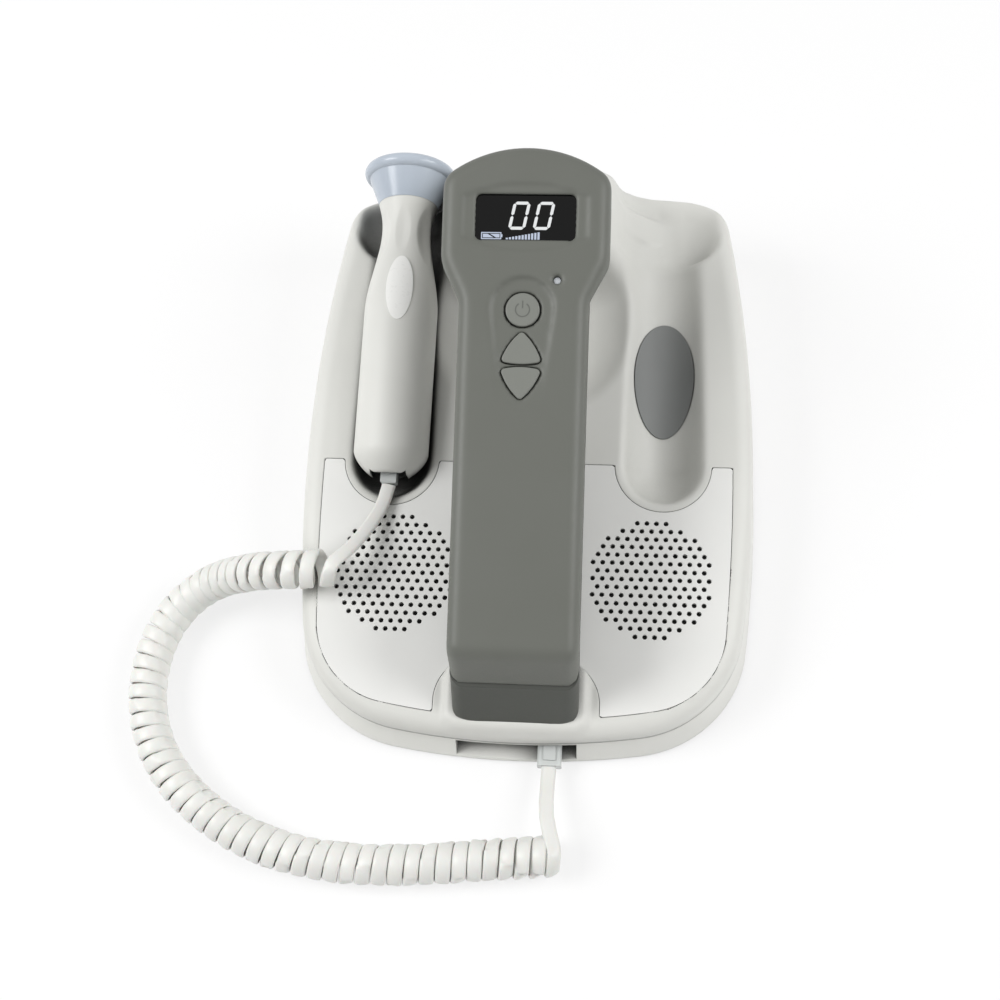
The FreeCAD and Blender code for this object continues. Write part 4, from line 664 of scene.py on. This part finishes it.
def rimProfile():
    # how far in and how far down each ring of the rim's wall and round lies
    spec = housing
    angles = np.radians(np.linspace(0, 90, spec["rimPoints"]))
    arc = [(spec["wallDraft"] + (spec["rimRound"] + spec["rimSlack"]) * (1 - math.cos(a)),
            spec["rimRound"] * (math.sin(a) - 1)) for a in angles]
    wall = [(0.0, -spec["rimDepth"]), (spec["wallDraft"] / 2, -(spec["rimDepth"] + spec["rimRound"]) / 2)]
    return wall + arc


def makeHousing():
    spec, notch = housing, housing["notch"]
    outline = housingOutline()
    profile = rimProfile()
    seams = [evenLoop(topFaceLoops(name)[0], spec["seamStep"]) for name in panels]
    # rings follow the rim, and an even grid fills the rest up to the seams
    low, high = outline.min(axis=0), outline.max(axis=0)
    xs = np.arange(low[0], high[0], spec["grid"])
    ys = np.arange(low[1], high[1], spec["grid"] * math.sqrt(3) / 2)
    grid = np.array([(x + (row % 2) * spec["grid"] / 2, y) for row, y in enumerate(ys) for x in xs])
    grid = grid[insideLoop(grid, outline)]
    grid = grid[nearLoop(grid, outline) > profile[-1][0] + spec["rimGap"]]
    for seam in seams:
        grid = grid[nearLoop(grid, seam) > spec["seamGap"]]
    plan = np.concatenate([offsetLoop(outline, inwards) for inwards, _ in profile] + [grid])
    drops = np.concatenate([np.full(len(outline), drop) for _, drop in profile] + [np.zeros(len(grid))])
    level = housingHeights(plan)
    level = np.where(plan[:, 1] > notch["start"], np.maximum(level, notch["lowest"]), level)
    # the rim's round shrinks where the surface comes down towards the rim's foot
    level += drops * np.clip((spec["rimDepth"] + level) / spec["rimDepth"], spec["leastRim"], 1)
    level[:len(outline)] = -spec["rimDepth"]
    # each panel lies in a sunk field with a fine seam round it
    inPanel = np.any([insideLoop(grid, seam) for seam in seams], axis=0)
    level[len(plan) - len(grid):][inPanel] = -spec["seamDepth"]
    for seam in seams:
        outer, inner = offsetLoop(seam, -spec["seam"]), offsetLoop(seam, -spec["seamFoot"])
        plan = np.concatenate([plan, outer, inner])
        level = np.concatenate([level, housingHeights(outer), np.full(len(inner), -spec["seamDepth"])])
    border = [(i, (i + 1) % len(outline)) for i in range(len(outline))]
    made = delaunay_2d_cdt([Vector(p) for p in plan], border, [], 1, 1e-4)  # 1 keeps what is inside
    source = [group[0] for group in made[3]]
    corners = np.column_stack([np.array([v[:] for v in made[0]]), level[source]])
    piece = meshPiece("top_housing_shell", toWorld(corners, deckPlace), made[2],
                      looks["sparkTexturedLightAbs"], crease=spec["crease"])
    wall = piece.modifiers.new("wall", "SOLIDIFY")
    wall.thickness = spec["wall"] * mm
    wall.offset = -1
    applied(piece)
    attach(piece, "monitor")
    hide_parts("top_housing")
    print("top housing made:", len(piece.data.polygons), "faces")


makeHousing()


readout = {
    "middle": (0.0, 144.6), "level": -2.78, "thick": 0.05,  # mm in the console's plane
    "digit": {"width": 7.6, "height": 12.7, "stroke": 1.35, "gap": 0.12, "lean": 11.0},
    "digitPlaces": [(-7.9, -5.3), (3.0, -5.3)],
    # the knob's foot, width and height, and the slanting gap's two sides, low and high, are shares
    "battery": {"place": (-19.6, -9.7), "width": 9.0, "height": 3.2, "rim": 0.45, "inset": 0.8,
                "knob": (0.3, 0.5, 0.4), "gap": ((0.62, 0.32), (0.74, 0.44))},
    "bars": {"place": (-8.6, -9.7), "count": 11, "pitch": 1.4, "width": 0.95, "first": 0.7, "rise": 0.26},
    "white": "#f3f5f6", "blue": "#c9d3e6", "glow": 0.95, "mottle": 0.6, "mottled": 0.9,
}
powerSign = {"middle": (0.0, 103.0), "level": -0.57, "radius": 3.1, "stroke": 0.55, "gap": 34.0,
             "foot": 0.6, "stem": 3.4, "points": 40}


def slab(outline, low, high):
    # vertices and faces of a flat plate with the given plan
    count = len(outline)
    corners = [(x, y, low) for x, y in outline] + [(x, y, high) for x, y in outline]
    faces = [tuple(reversed(range(count))), tuple(range(count, 2 * count))]
    faces += [(i, (i + 1) % count, count + (i + 1) % count, count + i) for i in range(count)]
    return corners, faces


def joined(parts):
    corners, faces = [], []
    for partCorners, partFaces in parts:
        start = len(corners)
        corners += partCorners
        faces += [tuple(i + start for i in face) for face in partFaces]
    return corners, faces


def bar(x0, y0, x1, y1, stroke, gap):
    # a pointed segment from one corner of a digit to the next
    start, stop = np.array((x0, y0)), np.array((x1, y1))
    along = (stop - start) / np.linalg.norm(stop - start)
    across = np.array((-along[1], along[0])) * stroke / 2
    start, stop = start + along * gap, stop - along * gap
    tip = along * stroke / 2
    return [tuple(p) for p in (start, start + tip - across, stop - tip - across, stop, stop - tip + across,
                               start + tip + across)]


def zeroOutlines(place):
    spec = readout["digit"]
    half, wide, tall = spec["stroke"] / 2, spec["width"], spec["height"]
    left, right, low, high, middle = half, wide - half, half, tall - half, tall / 2
    runs = [(left, low, right, low), (right, low, right, middle), (right, middle, right, high),
            (right, high, left, high), (left, high, left, middle), (left, middle, left, low)]
    lean = math.tan(math.radians(spec["lean"]))
    return [[(x + y * lean + place[0], y + place[1]) for x, y in bar(*run, spec["stroke"], spec["gap"])]
            for run in runs]


def rectangle(x, y, wide, tall):
    return [(x, y), (x + wide, y), (x + wide, y + tall), (x, y + tall)]


def glowing(name, colour):
    # light that comes through a printed mask: even, with the mask's fine mottle
    material, tree = newMaterial(name)
    place = addNode(tree, "ShaderNodeTexCoord").outputs["Object"]
    mottle = addNode(tree, "ShaderNodeTexNoise",
                     {"Scale": 1 / (readout["mottle"] * mm), "Detail": 2.0}, {"Vector": place})
    level = addNode(tree, "ShaderNodeMapRange",
                    {"To Min": readout["glow"] * readout["mottled"], "To Max": readout["glow"]},
                    {"Value": mottle.outputs["Fac"]})
    glow = addNode(tree, "ShaderNodeEmission", {"Color": hexColour(colour)},
                   {"Strength": level.outputs["Result"]})
    addNode(tree, "ShaderNodeOutputMaterial", None, {"Surface": glow.outputs["Emission"]})
    return material


def plates(name, outlines, material, middle, level):
    low, high = level, level + readout["thick"]
    parts = [slab([(x + middle[0], y + middle[1]) for x, y in outline], low, high) for outline in outlines]
    corners, faces = joined(parts)
    return meshPiece(name, toWorld(corners, consolePlace), faces, material)


def batteryOutlines():
    cell = readout["battery"]
    x, y = cell["place"]
    wide, tall, rim, inset = cell["width"], cell["height"], cell["rim"], cell["inset"]
    foot, reach, height = cell["knob"]
    (leftLow, leftHigh), (rightLow, rightHigh) = cell["gap"]
    left, right, low, high = x + inset, x + wide - inset, y + inset, y + tall - inset
    return [rectangle(x, y, wide, rim), rectangle(x, y + tall - rim, wide, rim),
            rectangle(x, y + rim, rim, tall - 2 * rim),
            rectangle(x + wide - rim, y + rim, rim, tall - 2 * rim),
            rectangle(x + wide, y + tall * foot, reach, tall * height),
            [(left, low), (x + wide * leftLow, low), (x + wide * leftHigh, high), (left, high)],
            [(x + wide * rightLow, low), (right, low), (right, high), (x + wide * rightHigh, high)]]


def powerOutlines():
    # a ring that is open at the top, and the stem that stands in its gap
    half, gap = powerSign["stroke"] / 2, math.radians(powerSign["gap"])
    outer, inner = powerSign["radius"] + half, powerSign["radius"] - half
    turns = np.linspace(math.pi / 2 + gap, 2.5 * math.pi - gap, powerSign["points"])
    outlines = []
    for a, b in zip(turns[:-1], turns[1:]):
        corners = (outer, a), (outer, b), (inner, b), (inner, a)
        outlines.append([(radius * math.cos(turn), radius * math.sin(turn)) for radius, turn in corners])
    return outlines + [rectangle(-half, powerSign["foot"], 2 * half, powerSign["stem"])]


def makeReadout():
    digits = [outline for place in readout["digitPlaces"] for outline in zeroOutlines(place)]
    piece = plates("display_digits", digits, glowing("litDigitMask", readout["white"]),
                   readout["middle"], readout["level"])
    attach(piece, "monitor")
    bars = readout["bars"]
    x, y = bars["place"]
    signs = batteryOutlines()
    for i in range(bars["count"]):
        signs.append(rectangle(x + i * bars["pitch"], y, bars["width"], bars["first"] + i * bars["rise"]))
    piece = plates("display_signs", signs, glowing("litSignMask", readout["blue"]),
                   readout["middle"], readout["level"])
    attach(piece, "monitor")
    # pad-printed ink: flat, crisp and a little darker than the key it is printed on
    ink = grained("padPrintedInk", {
        "colour": "#666863", "shade": "#60625d", "grain": 0.5, "rough": 0.5, "bump": 0.05})
    piece = plates("power_sign", powerOutlines(), ink, powerSign["middle"], powerSign["level"])
    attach(piece, "power_key")
    print("display and power sign made")


makeReadout()


cover = {
    "merge": 0.005, "voxel": 0.9, "smoothing": 7, "share": 0.5,  # mm, mm, rounds, share a round
    "noseTuck": 1.0, "noseFrom": -38.0, "noseTo": -50.0, "tuckTop": -5.0, "tuckFoot": -19.0,
}


def eased(value, start, stop):
    part = np.clip((value - start) / (stop - start), 0, 1)
    return part * part * (3 - 2 * part)


def makeCover():
    # the cover's own form with every edge eased, as a thick moulding comes from its mould
    mesh = nodes["console_cover"].data.copy()
    work = bmesh.new()
    work.from_mesh(mesh)
    bmesh.ops.remove_doubles(work, verts=work.verts, dist=cover["merge"] * mm)
    work.to_mesh(mesh)
    work.free()
    piece = newObject("console_cover_moulding", mesh)
    remeshed = piece.modifiers.new("even", "REMESH")
    remeshed.mode = "VOXEL"
    remeshed.voxel_size = cover["voxel"] * mm
    remeshed.use_smooth_shade = True
    smoothed = piece.modifiers.new("eased", "SMOOTH")
    smoothed.factor = cover["share"]
    smoothed.iterations = cover["smoothing"]
    applied(piece)
    # the nose draws in towards the toe
    places = turned(meshPoints(piece.data), consolePlace.inverted())
    tuck = eased(-places[:, 1], -cover["noseFrom"], -cover["noseTo"])
    tuck *= eased(-places[:, 2], -cover["tuckTop"], -cover["tuckFoot"])
    places[:, 1] += cover["noseTuck"] * tuck
    setPoints(piece.data, toWorld(places, consolePlace))
    piece.data.materials.clear()
    piece.data.materials.append(looks["sparkTexturedDarkAbs"])
    piece.data.shade_smooth()
    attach(piece, "monitor")
    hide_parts("console_cover")
    print("console cover made:", len(piece.data.polygons), "faces")


makeCover()


grille = {
    "pitch": 4.5, "holeRadius": 1.15, "holeSides": 14, "thickness": 2.6, "drillLength": 3.0,
    "rows": [13, 12, 13, 12, 11, 10, 7, 4],  # holes a row, from the middle row outwards
    "middleX": 60.2, "edgeStep": 2.0,
}


def grilleTree():
    # drills one round hole through the plate at every point it is given
    tree = bpy.data.node_groups.new("drilledGrille", "GeometryNodeTree")
    for name, kind in (("Points", "Geometry"), ("Plate", "Object"), ("Hole Radius", "Float"),
                       ("Plate Thickness", "Float"), ("Material", "Material")):
        tree.interface.new_socket(name, in_out="INPUT", socket_type="NodeSocket" + kind)
    tree.interface.new_socket("Geometry", in_out="OUTPUT", socket_type="NodeSocketGeometry")
    given = addNode(tree, "NodeGroupInput")
    plate = addNode(tree, "GeometryNodeObjectInfo", None, {"Object": given.outputs["Plate"]})
    depth = addNode(tree, "ShaderNodeMath", {"operation": "MULTIPLY", 1: grille["drillLength"]},
                    {0: given.outputs["Plate Thickness"]})
    drill = addNode(tree, "GeometryNodeMeshCylinder", {"Vertices": grille["holeSides"]},
                    {"Radius": given.outputs["Hole Radius"], "Depth": depth.outputs[0]})
    drills = addNode(tree, "GeometryNodeInstanceOnPoints", None,
                     {"Points": given.outputs["Points"], "Instance": drill.outputs["Mesh"]})
    real = addNode(tree, "GeometryNodeRealizeInstances", None, {"Geometry": drills.outputs["Instances"]})
    cut = addNode(tree, "GeometryNodeMeshBoolean", {"operation": "DIFFERENCE", "solver": "EXACT"},
                  {"Mesh 1": plate.outputs["Geometry"], "Mesh 2": real.outputs["Geometry"]})
    painted = addNode(tree, "GeometryNodeSetMaterial", None,
                      {"Geometry": cut.outputs["Mesh"], "Material": given.outputs["Material"]})
    addNode(tree, "NodeGroupOutput", None, {"Geometry": painted.outputs["Geometry"]})
    return tree


def setInput(modifier, name, value):
    for item in modifier.node_group.interface.items_tree:
        if item.name == name and item.in_out == "INPUT":
            modifier[item.identifier] = value


def makePanel(name, side, tree, material):
    spec = grille
    outline = evenLoop(topFaceLoops(name)[0], spec["edgeStep"])
    corners, faces = slab([tuple(p) for p in outline], -spec["thickness"], 0.0)
    plate = meshPiece(name + "_plate", np.array(corners) * mm, faces, material)
    centres = []
    for row in range(1 - len(spec["rows"]), len(spec["rows"])):
        count = spec["rows"][abs(row)]
        for column in range(count):
            centres.append((side * (spec["middleX"] + (column - (count - 1) / 2) * spec["pitch"]),
                            row * spec["pitch"] * math.sqrt(3) / 2, -spec["thickness"] / 2))
    piece = meshPiece(name + "_drilled", np.array(centres) * mm, [], material)
    drilled = piece.modifiers.new("holes", "NODES")
    drilled.node_group = tree
    setInput(drilled, "Plate", plate)
    setInput(drilled, "Hole Radius", spec["holeRadius"] * mm)
    setInput(drilled, "Plate Thickness", spec["thickness"] * mm)
    setInput(drilled, "Material", material)
    applied(piece)
    bpy.data.objects.remove(plate)
    setPoints(piece.data, toWorld(meshPoints(piece.data), deckPlace))
    piece.data.shade_flat()
    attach(piece, "monitor")
    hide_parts(name)
    print(piece.name, len(piece.data.polygons), "faces")


panelTree = grilleTree()
for panel, side in panels.items():
    makePanel(panel, side, panelTree, looks["satinMouldedPaleAbs"])


handset = {
    "x": -65.4, "axisY": 46.5, "tilt": 3.7, "skew": 0.35,
    "rings": [(0, 14, 15), (17, 80, 22), (82, 104, 20), (105, 139.5, 62)],  # from, to and how many
    "spokes": 121, "wall": 2.2, "scallopRoom": 1.0, "leastInner": 6,
    "endRadius": 9.6, "shoulder": 11.0, "bow": 1.2, "radius": 18.0, "straightEnd": 82.0,
    "neck": (125.5, 12.2), "collar": (139.5, 14.7), "collarFlare": 0.35,
    "mouth": (8.6, 7.0, -2.0, 5.0), "lean": 12.0,  # half width, above the axis, from, to; degrees
    # finger scallops: place along, angle from the top, half length, half width, depth
    "scallops": [(122.5, 0.0, 12.5, 3.9, 0.8), (121.0, 58.0, 15.5, 5.6, 1.7), (121.0, -58.0, 15.5, 5.6, 1.7)],
    "scallopPower": 1.3, "crease": 40,
}
probePlace = (deckPlace @ Matrix.Translation((handset["x"], handset["axisY"], axisHeight(handset["axisY"])))
              @ Matrix.Rotation(math.radians(-handset["skew"]), 4, "Z")
              @ Matrix.Rotation(math.radians(handset["tilt"] - 90), 4, "X"))


def hermite(start, stop, startSlope, stopSlope, x):
    (x0, y0), (x1, y1) = start, stop
    t, run = (x - x0) / (x1 - x0), x1 - x0
    return ((2 * t ** 3 - 3 * t ** 2 + 1) * y0 + (t ** 3 - 2 * t ** 2 + t) * run * startSlope
            + (3 * t ** 2 - 2 * t ** 3) * y1 + (t ** 3 - t ** 2) * run * stopSlope)


def probeRadius(along):
    spec = handset
    start, shoulder = (0.0, spec["endRadius"]), (spec["shoulder"], spec["radius"])
    chord = np.hypot(spec["shoulder"], spec["radius"] - spec["endRadius"])
    cone = np.interp(along, [0, spec["shoulder"]], [start[1], shoulder[1]])
    part = np.clip(along / spec["shoulder"], 0, 1)
    cone = cone + 4 * part * (1 - part) * spec["bow"] * chord / spec["shoulder"]
    grip, neck, collar = (spec["straightEnd"], spec["radius"]), spec["neck"], spec["collar"]
    waist = np.where(along < neck[0], hermite(grip, neck, 0, 0, along),
                     hermite(neck, collar, 0, spec["collarFlare"], along))
    return np.where(along < grip[0], cone, waist)


def makeShell(node, name, firstAngle, mouthUnder):
    # one half of the probe's moulding, from its skin and its inner wall
    spec = handset
    places = np.concatenate([np.linspace(*ring) for ring in spec["rings"]])
    angles = np.radians(np.linspace(firstAngle, firstAngle + 180, spec["spokes"]))
    plain = np.repeat(probeRadius(places)[:, None], len(angles), axis=1)
    radii = plain
    for along, angle, halfLength, halfWidth, depth in spec["scallops"]:
        off = (angles - math.radians(angle))[None, :] * radii
        far = ((places - along) / halfLength)[:, None] ** 2 + (off / halfWidth) ** 2
        radii = radii - depth * np.clip(1 - far, 0, 1) ** spec["scallopPower"]
    inner = np.maximum(plain - spec["wall"] - spec["scallopRoom"], spec["leastInner"])
    # each ring runs round the skin and back along the inner wall
    around = np.concatenate([angles, angles[::-1]])
    rings = np.concatenate([radii, inner[:, ::-1]], axis=1)
    along = np.repeat(places[:, None], len(around), axis=1)
    corners = np.stack([rings * np.sin(around), -rings * np.cos(around), along], axis=2).reshape(-1, 3)
    faces = gridFaces(len(places), len(around))
    for start, last in ((0, False), (len(corners) - len(around), True)):
        for i in range(len(angles) - 1):
            a, b = start + i, start + len(around) - 1 - i
            faces.append((a, a + 1, b - 1, b) if last else (a, b, b - 1, a + 1))
    piece = meshPiece(name, corners * mm, faces, looks["sparkTexturedLightAbs"])
    # the plug's mouth is cut into its end, which leans back
    half, over, near, deep = spec["mouth"]
    mouth = slab([(-half, -over), (half, -over), (half, mouthUnder), (-half, mouthUnder)], near, deep)
    far = spec["radius"] * 2
    lean = slab([(-far, -far), (far, -far), (far, 0.0), (-far, 0.0)], -far, 0.0)
    tilt = Matrix.Rotation(math.radians(spec["lean"]), 4, "X")
    lean = ([tuple(tilt @ Vector(p)) for p in lean[0]], lean[1])
    for cutName, (cutCorners, cutFaces) in (("mouth", mouth), ("lean", lean)):
        tool = meshPiece(cutName, np.array(cutCorners) * mm, cutFaces, looks["sparkTexturedLightAbs"])
        cut = piece.modifiers.new(cutName, "BOOLEAN")
        cut.operation = "DIFFERENCE"
        cut.solver = "EXACT"
        cut.object = tool
        applied(piece)
        bpy.data.objects.remove(tool)
    setPoints(piece.data, toWorld(meshPoints(piece.data), probePlace))
    piece.data.shade_smooth()
    piece.data.set_sharp_from_angle(angle=math.radians(spec["crease"]))
    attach(piece, "probe")
    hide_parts(node)
    print(name, "made:", len(piece.data.polygons), "faces")


# the angle where each half begins, and how far its mouth reaches below the axis
makeShell("probe_upper_shell", "probe_upper_moulding", -90, 1.0)
makeShell("probe_lower_shell", "probe_lower_moulding", 90, 11.5)


plugRear = {
    "rear": -137.0, "middle": 15.7,  # mm, as in the scene
    "grip": {"half": 5.6, "low": 5.2, "high": 11.4, "front": -148.6, "chamfer": 0.9},
    "latch": {"half": 3.0, "low": 11.4, "high": 12.3, "front": -146.2, "chamfer": 0.3},
}


def boxed(half, low, high, front, chamfer):
    # a box with chamfered long edges, lying along Y
    outline = [(-half + chamfer, low), (half - chamfer, low), (half, low + chamfer),
               (half, high - chamfer), (half - chamfer, high), (-half + chamfer, high),
               (-half, high - chamfer), (-half, low + chamfer)]
    corners, faces = slab(outline, front, plugRear["rear"])
    return [(x + plugRear["middle"], y, z) for x, z, y in corners], [tuple(reversed(face)) for face in faces]


def makePlugRear():
    corners, faces = joined([boxed(**plugRear["grip"]), boxed(**plugRear["latch"])])
    piece = meshPiece("base_plug_grip", np.array(corners) * mm, faces, looks["clearMouldedPolycarbonate"])
    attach(piece, "monitor")
    print("plug grip made")


makePlugRear()


studio = {
    "floor": "#f7f7f7", "floorSize": 6.0, "floorGlow": 0.7,  # metres here, not mm
    "mottle": 0.025, "roughness": (0.85, 0.95),
    "worldFront": 0.3, "worldRear": 0.58,
    "left": {"place": (-1.2, -0.15, 1.2), "size": 0.8, "power": 16.6},
    "right": {"place": (1.25, -0.1, 1.15), "size": 0.8, "power": 13.2},
}


def makeFloor():
    # pale matte floor that shows white to the camera and keeps the shadow
    material, tree = newMaterial("paleMattePaper")
    place = addNode(tree, "ShaderNodeTexCoord").outputs["Object"]
    noise = addNode(tree, "ShaderNodeTexNoise", {"Scale": 1 / studio["mottle"]}, {"Vector": place})
    smooth, rough = studio["roughness"]
    level = addNode(tree, "ShaderNodeMapRange", {"To Min": smooth, "To Max": rough},
                    {"Value": noise.outputs["Fac"]})
    paper = addNode(tree, "ShaderNodeBsdfPrincipled", {"Base Color": hexColour(studio["floor"])},
                    {"Roughness": level.outputs["Result"]})
    glow = addNode(tree, "ShaderNodeEmission", {"Strength": 1.0})  # 1 is white
    rays = addNode(tree, "ShaderNodeLightPath")
    seen = addNode(tree, "ShaderNodeMath", {"operation": "MAXIMUM"},
                   {0: rays.outputs["Is Camera Ray"], 1: rays.outputs["Is Glossy Ray"]})
    seen = addNode(tree, "ShaderNodeMath", {"operation": "MAXIMUM"},
                   {0: seen.outputs[0], 1: rays.outputs["Is Transmission Ray"]})
    share = addNode(tree, "ShaderNodeMath", {"operation": "MULTIPLY", 1: studio["floorGlow"]},
                    {0: seen.outputs[0]})
    mixed = addNode(tree, "ShaderNodeMixShader", None,
                    {0: share.outputs[0], 1: paper.outputs["BSDF"], 2: glow.outputs["Emission"]})
    addNode(tree, "ShaderNodeOutputMaterial", None, {"Surface": mixed.outputs["Shader"]})
    half = studio["floorSize"] / 2
    corners = [(-half, -half, 0), (half, -half, 0), (half, half, 0), (-half, half, 0)]
    floor = meshPiece("floor", corners, [(0, 1, 2, 3)], material)


def makeWorld():
    world = bpy.data.worlds.new("studio")
    world.use_nodes = True
    bpy.context.scene.world = world
    tree = world.node_tree
    tree.nodes.clear()
    rays = addNode(tree, "ShaderNodeLightPath")
    # the room is dimmer in front of the object than behind it
    facing = addNode(tree, "ShaderNodeTexCoord").outputs["Generated"]
    side = addNode(tree, "ShaderNodeSeparateXYZ", None, {"Vector": facing})
    around = addNode(tree, "ShaderNodeMapRange",
                     {"From Min": -1.0, "To Min": studio["worldFront"], "To Max": studio["worldRear"]},
                     {"Value": side.outputs["Y"]})
    level = addNode(tree, "ShaderNodeMapRange", {"To Max": 1.0},
                    {"Value": rays.outputs["Is Camera Ray"], "To Min": around.outputs["Result"]})
    background = addNode(tree, "ShaderNodeBackground", {"Color": (1, 1, 1, 1)},
                         {"Strength": level.outputs["Result"]})
    addNode(tree, "ShaderNodeOutputWorld", None, {"Surface": background.outputs["Background"]})


def makeLamp(name, spec):
    data = bpy.data.lights.new(name, "AREA")
    data.energy = spec["power"]
    data.size = spec["size"]
    lamp = newObject(name, data)
    place = Vector(spec["place"])
    lamp.matrix_world = Matrix.Translation(place) @ (-place).to_track_quat("-Z", "Y").to_matrix().to_4x4()


makeFloor()
makeWorld()
makeLamp("leftLamp", studio["left"])
makeLamp("rightLamp", studio["right"])
bpy.context.scene.view_settings.view_transform = "Standard"
print("studio lit")
